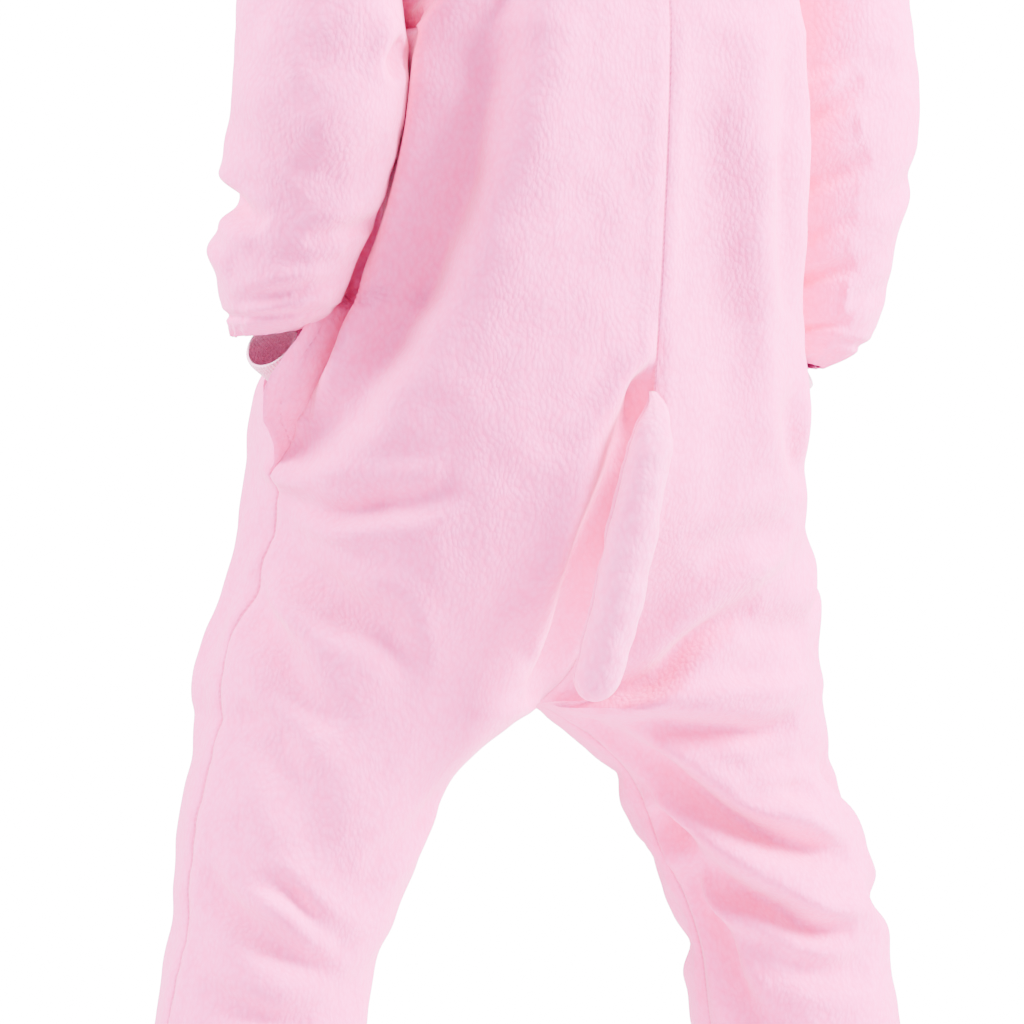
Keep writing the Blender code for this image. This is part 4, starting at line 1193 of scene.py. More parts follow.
        self.made = moved
        return moved, marks

    def build(self, finish: bpy.types.Material) -> bpy.types.Object:
        """Make the panel.

        Args:
            finish: The plush material.

        Returns:
            The panel.
        """
        grid, marks = self.grid()
        sign = self.side.sign
        name = self.face.value + "_" + self.side.value
        middle = (sign * 0.10, 0.0, -0.7)
        shell = Shell(name + "_cloth", mirrored(grid, sign), marks=marks, middle=middle, keep_half=sign)
        piece = dressed(shell.build(finish), name)
        return piece


@dataclass
class Sleeve:
    """One sleeve, from the armhole to its gathered wrist."""

    side: Side
    rows: int = 168
    turns: int = 132
    reach: float = 0.045
    quarter: float = 0.11
    pleats: int = 15
    pleat_depth: float = 0.0021
    bulge: float = 0.0018
    bulge_size: float = 0.060
    dimple: float = 0.0009
    dimple_size: float = 0.024
    groove: float = 0.0016
    groove_width: float = 0.0028
    aft_shift: float = 0.014
    end_trim: float = 0.012
    end_drop: float = 0.010
    trim: dict[Side, float] = field(default_factory=lambda: {Side.LEFT: 0.008, Side.RIGHT: -0.002})

    def rings(self, places: np.ndarray) -> tuple[np.ndarray, np.ndarray, np.ndarray]:
        """Return the outer and inner points and half depth of sleeve rings.

        Args:
            places: Ring numbers, whole or between.

        Returns:
            Outer points, inner points and half depths.
        """
        numbers = np.arange(len(SLEEVE_RINGS), dtype=float)
        size = {
            name: smooth(numbers, column(SLEEVE_RINGS, RING_COLUMNS, name), places) for name in RING_COLUMNS
        }
        drop = self.side.sleeve_drop * np.clip((places - 5.0) / 3.0, 0, 1)
        middle = np.clip((places - 1.5) / 2.0, 0, 1) * np.clip((12.0 - places) / 1.5, 0, 1)
        aft = size["aft"] + self.aft_shift * middle
        trim = self.trim[self.side] * middle
        if self.side is Side.RIGHT:
            trim = trim + self.end_trim * np.clip((places - 6.5) / 2.5, 0, 1)
            drop = drop + self.end_drop * np.clip((places - 8.0) / 4.0, 0, 1)
        outer = np.stack([size["outer_x"] - trim, aft, size["outer_z"] - drop], -1)
        inner = np.stack([size["inner_x"], aft, size["inner_z"] - drop], -1)
        return outer, inner, size["deep"]

    def fold_height(self, place: np.ndarray, turn: np.ndarray) -> np.ndarray:
        """Return how far the sleeve's folds move the cloth out.

        Args:
            place: Ring numbers.
            turn: Angles, 0 on the outer side and a quarter turn behind.

        Returns:
            Heights in metres.
        """
        total = np.zeros_like(place)
        scale = np.array([self.reach, self.quarter / 90])
        folds = [(fold, False) for fold in LARGE_SLEEVE_FOLDS] + [(fold, True) for fold in SLEEVE_CREASES]
        for fold, sharp in folds:
            if fold.sides not in (self.side.value, "both"):
                continue
            line = np.array([fold.start, fold.end]) * scale
            for wrap in (-360.0, 0.0, 360.0):
                along = (np.degrees(turn) + wrap) * scale[1]
                distance, share = along_lines(place * self.reach, along, line)
                if sharp:
                    total += fold_profile(distance, fold.width, fold.depth) * np.sin(math.pi * share) ** 0.6
                else:
                    total += fold.depth * bell(distance, 0.0, fold.width) * blunt(share)
        return total

    def grid(self) -> tuple[np.ndarray, dict[str, np.ndarray]]:
        """Return the sleeve's outer grid on the left side, and its marks.

        Returns:
            Points, and values for the finish.
        """
        last = len(SLEEVE_RINGS) - 1
        places = np.linspace(0, last, self.rows)
        outer, inner, deep = self.rings(places)
        turn = np.linspace(0, 2 * math.pi, self.turns, endpoint=False)[None, :]
        place = np.repeat(places[:, None], self.turns, axis=1)
        c, s = np.cos(turn)[..., None], np.sin(turn)[..., None]
        arm = ((outer - inner) / 2)[:, None]
        hollow = 0.012 * np.clip(1 - place / 1.5, 0, 1) * np.sin(turn) ** 2
        aft = np.array([0.0, 1.0, 0.0])
        spot = ((outer + inner) / 2)[:, None] + arm * c + aft * deep[:, None, None] * s
        spot[..., 0] -= hollow
        out = unit(unit(arm) * c + aft * s)
        height = self.fold_height(place, np.repeat(turn, self.rows, axis=0))
        world = mirrored(spot, self.side.sign)
        height += (
            self.bulge * ripple(world, self.bulge_size, 2.9)
            + self.dimple * ripple(world, self.dimple_size, 7.3)
        )
        height = np.where(c[..., 0] < -0.3, np.minimum(height, 0.0), height)
        fade = np.minimum(1.0, place / 2.0) * np.minimum(1.0, (last - place) / 1.2)
        gather = np.clip((place - 10.0) / 2.0, 0, 1) ** 1.5
        wave = np.cos(self.pleats * turn + 2.2 * ripple(world, 0.020, 4.4))
        height = height * fade + self.pleat_depth * gather * wave
        run = lengths_along(spot, 0)
        height -= self.groove * bell(run, 0.0, self.groove_width)
        grid = spot + out * height[..., None]
        grid[0, :, 0] += SEAM_GAP
        around = np.linalg.norm(np.diff(np.concatenate([grid, grid[:, :1]], axis=1), axis=1), axis=2)
        around = np.cumsum(around, axis=1)
        return grid, {"seam": np.minimum(run, FAR), "run": around, "stitch": np.ones_like(run)}

    def build(self, finish: bpy.types.Material) -> bpy.types.Object:
        """Make the sleeve.

        Args:
            finish: The plush material.

        Returns:
            The sleeve.
        """
        grid, marks = self.grid()
        name = "sleeve_" + self.side.value
        shell = TubeShell(name + "_cloth", mirrored(grid, self.side.sign), closed=True, marks=marks)
        piece = dressed(shell.build(finish), name)
        return piece


@dataclass
class TubeShell(Shell):
    """A closed sheet, whose outward side is away from the middle of each of its rings."""

    def skins(self) -> tuple[np.ndarray, np.ndarray]:
        """Return the outer and inner grids.

        Returns:
            Two grids of points.
        """
        normals = grid_normals(self.outer, closed=True)
        centres = self.outer.mean(axis=1, keepdims=True)
        if (normals * (self.outer - centres)).sum() < 0:
            normals = -normals
        return self.outer, self.outer - normals * self.thick


@dataclass
class RibCuff:
    """A ribbed knit tube with a turned end."""

    name: str
    line: tuple[tuple[float, float, float, float], ...]
    tangent: tuple[float, float, float]
    sign: float
    ribs: int = 52
    rib_depth: float = 0.0011
    thick: float = 0.0020
    rows: int = 26
    flat: tuple[float, float] = (0.20, 0.088)

    def grid(self) -> tuple[np.ndarray, dict[str, np.ndarray]]:
        """Return the tube's outer grid and its marks.

        Returns:
            Points, and values for the finish.
        """
        tangent = np.array(self.tangent) / np.linalg.norm(self.tangent)
        across = unit(np.cross(tangent, [0.0, 1.0, 0.0]))
        other = np.cross(across, tangent)
        shares = np.linspace(0, 1, self.rows)
        line = path(np.array(self.line), shares)
        turn = np.linspace(0, 2 * math.pi, self.ribs * 6, endpoint=False)[None, :]
        phase = self.ribs * turn + 0.5 * np.sin(3 * turn + 1.0)
        rib = 0.5 * np.sign(np.cos(phase)) * np.abs(np.cos(phase)) ** 0.7
        edge = np.clip(np.minimum(shares, 1 - shares) / 0.06, 0, 1)[:, None]
        radius = line[:, 3:4] + self.rib_depth * rib * (0.4 + 0.6 * edge) - 0.0010 * (1 - edge) ** 2
        radius = radius + 0.0008 * np.sin(2 * turn + 3 * shares[:, None])
        ring = across * np.cos(turn)[..., None] + other * np.sin(turn)[..., None]
        grid = mirrored(line[:, None, :3] + ring * radius[..., None], self.sign)
        length = np.linalg.norm(line[-1, :3] - line[0, :3])
        down = np.repeat(shares[:, None] * length, turn.shape[1], axis=1)
        # The groove mark is the depth between the ribs, where the finish paints shade.
        return grid, {"groove": np.repeat(0.5 - rib, self.rows, axis=0), "run": down}

    def build(self, finish: bpy.types.Material) -> bpy.types.Object:
        """Make the cuff.

        Args:
            finish: The rib material.

        Returns:
            The cuff.
        """
        grid, marks = self.grid()
        shell = TubeShell(self.name + "_knit", grid, closed=True, thick=self.thick, marks=marks)
        piece = dressed(shell.build(finish), self.name)
        return piece


@dataclass
class HoodHalf:
    """One half of the hood, worn up and open at the face."""

    side: Side
    rows: int = 110
    steps: int = 84
    side_width: float = 0.128
    front_width: float = 0.098
    hem: float = 0.018
    heart: tuple[float, float, float] = (0.0, 0.02, 0.14)
    widest: float = 0.55
    bulge: float = 0.0030
    bulge_size: float = 0.075
    dimple: float = 0.0012
    dimple_size: float = 0.030
    slump_depth: float = 0.0065
    slump_ridge: float = 0.0040
    swell: float = 0.0014
    groove: float = 0.0018
    hem_roll: float = 0.0012
    hem_groove: float = 0.0010

    def grid(self) -> tuple[np.ndarray, dict[str, np.ndarray]]:
        """Return the left half's outer grid and its marks.

        Returns:
            Points, and values for the finish.
        """
        shares = np.linspace(0, 1, self.rows)
        lift = np.array([0.0, 0.0, 2 * SEAM_GAP])
        nape, front, shoulder = (
            np.array(spot) + lift for spot in (BACK_MIDDLE[-1], FRONT_MIDDLE[-1], NECK_SIDE)
        )
        angle = shares * math.pi
        ends = np.where((angle < math.pi / 2)[:, None], nape, front)
        turn = np.abs(np.cos(angle))[:, None]
        low = shoulder + (ends - shoulder) * turn
        low[:, 0] = np.maximum(SEAM_GAP / 2, shoulder[0] * np.sin(angle))
        top = path(np.array(HOOD_CROWN), np.maximum(shares, 0.006))
        top[:, 0] = SEAM_GAP / 2
        width = self.side_width * np.sin(np.minimum(shares, self.widest) / self.widest * math.pi / 2)
        past = np.clip(shares - self.widest, 0, 1)
        width += (self.front_width - self.side_width) * past / 0.45
        reach = np.linalg.norm(top - low, axis=1)
        first = top + np.stack([width * 1.05, 0 * width, 0 * width], -1)
        second = low + np.stack([width * 0.45, 0 * width, reach * 0.42], -1)
        t = np.linspace(0, 1, self.steps)[None, :, None]
        grid = ((1 - t) ** 3 * top[:, None] + 3 * (1 - t) ** 2 * t * first[:, None]
                + 3 * (1 - t) * t**2 * second[:, None] + t**3 * low[:, None])
        normals = grid_normals(grid, closed=False)
        if (normals * (grid - np.array(self.heart))).sum() < 0:
            normals = -normals
        normals[:, 0, 0] = 0.0
        normals = unit(normals)
        along, down = lengths_along(grid, 0), lengths_along(grid, 1)
        face = along[-1:] - along
        neck = down[:, -1:] - down
        world = mirrored(grid, self.side.sign)
        height = (
            self.bulge * ripple(world, self.bulge_size, 6.1)
            + self.dimple * ripple(world, self.dimple_size, 1.3)
        )
        sag = np.sin(math.pi * t[..., 0])
        height -= self.slump_depth * bell(neck - 0.10 * shares[:, None], 0.030, 0.014) * sag
        height += self.slump_ridge * bell(neck - 0.12 * shares[:, None], 0.055, 0.018) * sag
        seam = np.minimum(down, neck)
        height *= np.clip(neck / 0.02, 0.1, 1)
        height += self.swell * bell(seam, 0.010, 0.007)
        height -= self.groove * bell(seam, 0.0, 0.0026)
        height += self.hem_roll * bell(face, self.hem / 2, self.hem / 2.4)
        height -= self.hem_groove * bell(face, self.hem, 0.0022)
        grid = grid + normals * height[..., None]
        grid[..., 0] = np.maximum(grid[..., 0], SEAM_GAP / 2)
        marks = {
            "seam": np.minimum(seam, FAR),
            "run": np.where(seam == down, along, down),
            "stitch": np.abs(face - self.hem),
        }
        return grid, marks

    def build(self, finish: bpy.types.Material) -> bpy.types.Object:
        """Make the hood half.

        Args:
            finish: The plush material.

        Returns:
            The hood half.
        """
        grid, marks = self.grid()
        name, sign = "hood_" + self.side.value, self.side.sign
        shell = Shell(name + "_cloth", mirrored(grid, sign), middle=self.heart, marks=marks, keep_half=sign)
        piece = dressed(shell.build(finish), name)
        return piece


FACING_FLAP = (
    (-0.668, 0.002), (-0.650, 0.014), (-0.630, 0.030), (-0.610, 0.045), (-0.590, 0.052),
    (-0.570, 0.050), (-0.550, 0.046), (-0.535, 0.044), (-0.516, 0.040),
)


@dataclass
class PocketFacing:
    """The strip that faces the pocket mouth and runs in under the back panel."""

    form: SuitForm
    side: Side
    tuck: float = 0.010
    inset: float = 0.0032
    columns: int = 8
    step: float = 0.0030
    stitch_in: float = 0.016
    foot: float = -0.665
    top: float = -0.516
    flap_columns: int = 22
    flap_way: tuple[float, float, float] = (0.93, 0.02, 0.0)
    flap_bow: float = 0.004
    flap_longest: float = 0.052
    flap_share: dict[Side, float] = field(default_factory=lambda: {Side.LEFT: 1.0, Side.RIGHT: 0.35})
    lip_way: tuple[float, float, float] = (0.35, 0.94, 0.0)
    lip_roll: float = 0.0014
    lip_groove: float = 0.0009
    thick: float = 0.0020

    def grid(self) -> tuple[np.ndarray, dict[str, np.ndarray]]:
        """Return the left side's outer grid and its marks.

        Returns:
            Points, and values for the finish.
        """
        panel = BodyPanel(self.form, self.side, Face.BACK)
        drop = self.side.sleeve_drop
        levels = np.arange(self.foot - drop, self.top - drop, self.step)
        rows, ways, arounds, girths = [], [], [], []
        for z in levels:
            z = float(z)
            girth = self.form.girth(z)
            far = 0.5 - (panel.mouth(z, "panel") + self.tuck) / girth
            near = 0.5 - (panel.mouth(z, "panel") + SEAM_GAP) / girth
            places = np.linspace(far, near, self.columns)
            points = self.form.points_at(z, places)
            rows.append(points)
            ways.append(self.form.normals_at(points, z))
            arounds.append(places)
            girths.append(np.full(len(places), girth))
        grid, normals = np.array(rows), np.array(ways)
        around, girth = np.array(arounds), np.array(girths)
        height = self.form.fold_height(self.side, around, grid[..., 2], girth)
        height += panel.corrections(around, grid[..., 2], girth) - self.inset
        push = normals * height[..., None]
        push[..., 2] *= RISE_SHARE
        grid = self.form.press_in(grid + push, self.side)
        flap_levels, flap_lengths = np.array(FACING_FLAP).T
        length = smooth(flap_levels, flap_lengths, levels + drop)[:, None] * self.flap_share[self.side]
        t = np.linspace(0, 1, self.flap_columns)[None, 1:]
        way = unit(np.array(self.flap_way))
        start = grid[:, -1:]
        bow = self.flap_bow * np.sin(math.pi * t) * length / self.flap_longest
        flap = start + (t * length)[..., None] * way + bow[..., None] * np.array([-way[1], way[0], 0.0])
        grid = np.concatenate([grid, flap], axis=1)
        along = lengths_along(grid, 1)
        lip = along[:, -1:] - along
        rise = self.lip_roll * bell(lip, 0.003, 0.003)
        rise = rise - self.lip_groove * bell(lip, self.stitch_in, 0.0016)
        grid = grid + np.array(self.lip_way) * rise[..., None]
        marks = {
            "seam": np.full(grid.shape[:2], FAR),
            "run": np.repeat(levels[:, None] - levels[0], grid.shape[1], axis=1),
            "stitch": np.abs(lip - self.stitch_in),
        }
        return grid, marks

    def build(self, finish: bpy.types.Material) -> bpy.types.Object:
        """Make the facing.

        Args:
            finish: The plush material.

        Returns:
            The facing.
        """
        grid, marks = self.grid()
        name = "pocket_facing_" + self.side.value
        middle = (0.0, 0.0, -0.6)
        outer = mirrored(grid, self.side.sign)
        shell = Shell(name + "_cloth", outer, middle=middle, thick=self.thick, marks=marks)
        piece = dressed(shell.build(finish), name)
        return piece


TAIL_CREASES = (
    (0.040, 0.006, -0.0022, 0.0065),
    (0.066, -0.004, -0.0016, 0.0070),
    (0.105, 0.005, -0.0012, 0.0090),
    (0.150, -0.006, -0.0012, 0.0090),
    (0.195, 0.004, -0.0010, 0.0100),
)


@dataclass
class Tail:
    """The stuffed tail that hangs from the middle back seam."""

    back: np.ndarray
    stations: int = 150
    turns: int = 88
    caps: tuple[float, ...] = (6, 12, 18, 24, 30, 37, 44, 51, 58, 65, 72, 78, 83, 87)
    pinches: int = 7
    pinch_depth: float = 0.0016
    pinch_reach: float = 0.022
    seam_turn: float = 0.35
    crease_turn: float = 1.9
    groove: float = 0.0014
    groove_width: float = 0.0024

    def seat(self, z: float) -> float:
        """Return how far aft the middle back seam lies at a height.

        Args:
            z: Height.

        Returns:
            Distance in metres.
        """
        line = self.back[:, 0]
        return float(np.interp(z, line[:, 2], line[:, 1]))

    def rings(self) -> tuple[np.ndarray, dict[str, np.ndarray]]:
        """Return the tail's rings from the root to the tip, and its marks.

        Returns:
            A grid of points, and values for the finish.
        """
        shares = np.linspace(0, 1, self.stations)
        line = path(np.array(TAIL_LINE), shares)
        shift = self.seat(float(line[0, 2])) + line[0, 3] + SEAM_GAP - line[0, 1]
        line[:, 1] += shift * np.linspace(1.0, 0.0, len(line)) ** 6
        tip, heading = line[-1, :3], unit(line[-1, :3] - line[-3, :3])
        spots, radii = list(line[:, :3]), list(line[:, 3])
        for angle in self.caps:
            bend = math.radians(angle)
            spots.append(tip + heading * line[-1, 3] * math.sin(bend))
            radii.append(line[-1, 3] * math.cos(bend))
        spots, radii = np.array(spots), np.array(radii)
        across = np.array([1.0, 0.0, 0.0])
        other = unit(np.cross(heading, across))
        turn = np.linspace(0, 2 * math.pi, self.turns, endpoint=False)[None, :, None]
        ring = across * np.cos(turn) + other * np.sin(turn)
        steps = np.concatenate([[0.0], np.cumsum(np.linalg.norm(np.diff(spots, axis=0), axis=1))])
        grid = spots[:, None] + ring * radii[:, None, None]
        near_root = bell(steps, 0.0, self.pinch_reach)[:, None]
        full = np.clip(radii / 0.02, 0, 1)[:, None]
        angle = turn[..., 0]
        height = 0.0013 * ripple(grid, 0.034, 5.5) + 0.0007 * ripple(grid, 0.016, 0.4)
        height += self.pinch_depth * near_root * np.cos(self.pinches * angle + 0.6)
        seam = np.abs((angle - self.seam_turn + math.pi) % (2 * math.pi) - math.pi) * radii[:, None]
        height -= self.groove * bell(seam, 0.0, self.groove_width)
        for level, lean, depth, width in TAIL_CREASES:
            lift = steps[:, None] - level - lean * np.cos(angle - 0.8)
            side = 0.35 + 0.65 * np.clip(np.cos(angle - self.crease_turn), 0, 1)
            height += fold_profile(np.abs(lift), width, depth) * side
        grid = grid + ring * (height * full)[..., None]
        run = np.repeat(steps[:, None], self.turns, axis=1)
        return grid, {"run": run, "seam": np.minimum(seam, FAR), "stitch": np.ones_like(run)}

    def build(self, finish: bpy.types.Material) -> bpy.types.Object:
        """Make the tail.

        Args:
            finish: The tail's plush.

        Returns:
            The tail.
        """
        grid, marks = self.rings()
        rows, columns = grid.shape[:2]
        numbers = np.arange(rows * columns).reshape(rows, columns)
        numbers = np.concatenate([numbers, numbers[:, :1]], axis=1)
        a, b, c, d = numbers[:-1, :-1], numbers[:-1, 1:], numbers[1:, 1:], numbers[1:, :-1]
        faces = np.stack([a, b, c, d], -1).reshape(-1, 4).tolist()
        ends = [numbers[0, :-1][::-1].tolist(), numbers[-1, :-1].tolist()]
        mesh = bpy.data.meshes.new("tail_cloth")
        mesh.from_pydata(grid.reshape(-1, 3).tolist(), [], faces + ends)
        for mark, values in marks.items():
            layer = mesh.attributes.new(mark, "FLOAT", "POINT")
            layer.data.foreach_set("value", values.reshape(-1).astype(np.float32))
        face_out(mesh)
        mesh.shade_smooth()
        mesh.materials.append(finish)
        piece = dressed(linked(mesh), "tail")
        LOG.info("tail: %d faces", len(mesh.polygons))
        return piece


@dataclass
class Placket:
    """The button band over the middle front seam, with its seven buttons."""

    fronts: dict[Side, np.ndarray]
    width: float = 0.034
    foot: float = -0.620
    columns: int = 27
    stitch_in: float = 0.0035
    buttons: int = 7

    def grid(self) -> tuple[np.ndarray, dict[str, np.ndarray]]:
        """Return the band's outer grid and its marks.

        Returns:
            Points, and values for the finish.
        """
        across = np.linspace(-self.width / 2, self.width / 2, self.columns)
        rows = []
        left, right = self.fronts[Side.LEFT], self.fronts[Side.RIGHT]
        for one, two in zip(left[:-3, ::-1], right[:-3, ::-1]):
            if one[0, 2] < self.foot:
                continue
            spots = []
            for x in across:
                place = max(abs(x), 0.011)
                mine, theirs = (
                    [np.interp(place, line[:, 0], line[:, k]) for k in (1, 2)]
                    for line in ((two, one) if x < 0 else (one, two))
                )
                blend = 0.5 + 0.5 * np.clip((abs(x) - 0.004) / 0.008, 0, 1)
                spots.append([x] + [blend * m + (1 - blend) * t for m, t in zip(mine, theirs)])
            rows.append(spots)
        grid = np.array(rows)
        normals = grid_normals(grid, closed=False)
        normals = normals * np.sign(-normals[..., 1:2])
        edge = self.width / 2 - np.abs(across)[None, :]
        foot = np.cumsum(np.linalg.norm(np.diff(grid, axis=0, prepend=grid[:1]), axis=2), axis=0)
        edge = np.minimum(edge, foot)
        height = 2 * SEAM_GAP + CLOTH - 0.0007 * bell(edge, self.stitch_in, 0.0012)
        height -= 0.0008 * bell(edge, 0.0, 0.0012)
        marks = {"seam": np.full(edge.shape, FAR), "run": foot, "stitch": np.abs(edge - self.stitch_in)}
        return grid + normals * height[..., None], marks

    def build(
        self, cloth: bpy.types.Material, plastic: bpy.types.Material, thread: bpy.types.Material
    ) -> None:
        """Make the band and sew its buttons on.

        Args:
            cloth: The plush material.
            plastic: The buttons' material.
            thread: The sewing thread's material.
        """
        grid, marks = self.grid()
        shell = Shell("placket_cloth", grid, middle=(0.0, 0.0, -0.35), thick=0.0022, marks=marks)
        piece = dressed(shell.build(cloth), "placket")
        middle = grid[:, self.columns // 2]
        for number in range(1, self.buttons + 1):
            Button("button_" + str(number), middle).build(plastic, thread)


@dataclass
class Button:
    """A four-hole button with a rolled rim, sewn on with two stitches of thread."""

    name: str
    line: np.ndarray
    radius: float = 0.011
    profile: tuple[tuple[float, float], ...] = (
        (0.0, 0.0008), (0.0060, 0.0008), (0.0072, 0.0011), (0.0082, 0.0017), (0.0094, 0.0018),
        (0.0104, 0.0014), (0.0110, 0.0006), (0.0110, -0.0006), (0.0104, -0.0013), (0.0, -0.0014),
    )
    hole: float = 0.0011
    hole_reach: float = 0.0022
    thread: float = 0.0005
    turns: int = 48

    def placing(self) -> tuple[np.ndarray, float]:
        """Return the button's middle and its lean, on the band's high spots.

        Returns:
            A point and an angle.
        """
        low, high = (np.array(corner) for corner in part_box(self.name))
        centre = (low + high) / 2
        heights, depths = self.line[:, 2], self.line[:, 1]
        reach = np.linspace(-self.radius, self.radius, 9)
        band = np.interp(centre[2] + reach, heights, depths)
        slope = math.atan2(band[-1] - band[0], 2 * self.radius)
        facing = np.array([0.0, -math.cos(slope), math.sin(slope)])
        spots = np.stack([0 * reach, band, centre[2] + reach], -1)
        middle = np.array([0.0, np.interp(centre[2], heights, depths), centre[2]])
        proud = float(((spots - middle) @ facing).max())
        return middle + facing * (proud + 0.0018), slope

    def build(self, plastic: bpy.types.Material, thread: bpy.types.Material) -> None:
        """Make the button and its thread.

        Args:
            plastic: The button's material.
            thread: The thread's material.
        """
        spot, slope = self.placing()
        rows = np.array([
            [1.0, 0.0, 0.0],
            [0.0, math.sin(slope), math.cos(slope)],
            [0.0, -math.cos(slope), math.sin(slope)],
        ])
        shape = bmesh.new()
        turn = np.linspace(0, 2 * math.pi, self.turns, endpoint=False)
        loops = []
        for radius, height in self.profile:
            angles = turn if radius > 0.0 else turn[:1]
            loops.append([
                shape.verts.new((radius * math.cos(a), radius * math.sin(a), height)) for a in angles
            ])
        for low, high in zip(loops, loops[1:]):
            for k in range(self.turns):
                n = (k + 1) % self.turns
                corners = [(low, k), (low, n), (high, n), (high, k)]
                shape.faces.new(list(dict.fromkeys(loop[at % len(loop)] for loop, at in corners)))
        bmesh.ops.recalc_face_normals(shape, faces=shape.faces)
        disc = linked(mesh_from(shape, self.name + "_disc"))
        self.drill(disc)
        self.place(disc.data, rows, spot)
        disc.data.shade_smooth()
        disc.data.set_sharp_from_angle(angle=math.radians(40))
        disc.data.materials.append(plastic)
        dressed(disc, self.name)
        stitches = self.stitches(thread)
        self.place(stitches.data, rows, spot)
        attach(stitches, "root")

    @staticmethod
    def place(mesh: bpy.types.Mesh, rows: np.ndarray, spot: np.ndarray) -> None:
        """Turn a mesh to face out of the band and move it there.

        Args:
            mesh: The mesh.
            rows: The ways across, up and out, as rows.
            spot: Where its middle goes.
        """
        points = np.empty(len(mesh.vertices) * 3)
        mesh.vertices.foreach_get("co", points)
        mesh.vertices.foreach_set("co", (points.reshape(-1, 3) @ rows + spot).reshape(-1))
        mesh.update()

    def drill(self, disc: bpy.types.Object) -> None:
        """Cut the four holes.

        Args:
            disc: The button's disc.
        """
        shape = bmesh.new()
        for a in (45, 135, 225, 315):
            x = self.hole_reach * math.cos(math.radians(a))
            y = self.hole_reach * math.sin(math.radians(a))
            made = bmesh.ops.create_cone(
                shape, cap_ends=True, segments=16, radius1=self.hole, radius2=self.hole, depth=0.01)
            bmesh.ops.translate(shape, verts=made["verts"], vec=(x, y, 0.0))
        drill = linked(mesh_from(shape, self.name + "_drill"))
        cut = disc.modifiers.new("holes", "BOOLEAN")
        cut.operation = "DIFFERENCE"
        cut.object = drill
        graph = bpy.context.evaluated_depsgraph_get()
        result = bpy.data.meshes.new_from_object(disc.evaluated_get(graph))
        disc.modifiers.clear()
        disc.data = result
        bpy.data.objects.remove(drill, do_unlink=True)

    def stitches(self, thread: bpy.types.Material) -> bpy.types.Object:
        """Make the two crossed stitches that hold the button.

        Args:
            thread: The thread's material.

        Returns:
            The stitches.
        """
        shape = bmesh.new()
        turn = np.linspace(0, 2 * math.pi, 8, endpoint=False)
        out = np.array([0.0, 0.0, 1.0])
        for a in (45, 135):
            way = np.array([math.cos(math.radians(a)), math.sin(math.radians(a)), 0.0])
            side = np.array([-way[1], way[0], 0.0])
            rings = []
            for share in np.linspace(-1, 1, 13):
                height = 0.0010 + 0.0009 * (1 - share**2) + (0.0003 if a == 45 else 0.0)
                centre = way * share * self.hole_reach + out * height
                rings.append([
                    shape.verts.new(centre + self.thread * (side * math.cos(b) + out * math.sin(b)))
                    for b in turn
                ])
            for low, high in zip(rings, rings[1:]):
                for k in range(8):
                    shape.faces.new((low[k], low[(k + 1) % 8], high[(k + 1) % 8], high[k]))
            shape.faces.new(rings[0])
            shape.faces.new(rings[-1])
        bmesh.ops.recalc_face_normals(shape, faces=shape.faces)
        mesh = mesh_from(shape, self.name + "_thread")
        mesh.shade_smooth()
        mesh.materials.append(thread)
        return linked(mesh)


@dataclass(frozen=True)
class Nap:
    """How a plush pile looks: its colours, clump size and relief."""

    light: tuple[float, float, float]
    # The deep colour stands where the pile is low, between its tufts: painted shade.
    deep: tuple[float, float, float]
    # The seam colour is painted shade in the seam grooves and stitch dents.
    seam: tuple[float, float, float]
    clump: float = 0.0036
    relief: float = 0.0010
    stretch: float = 0.62


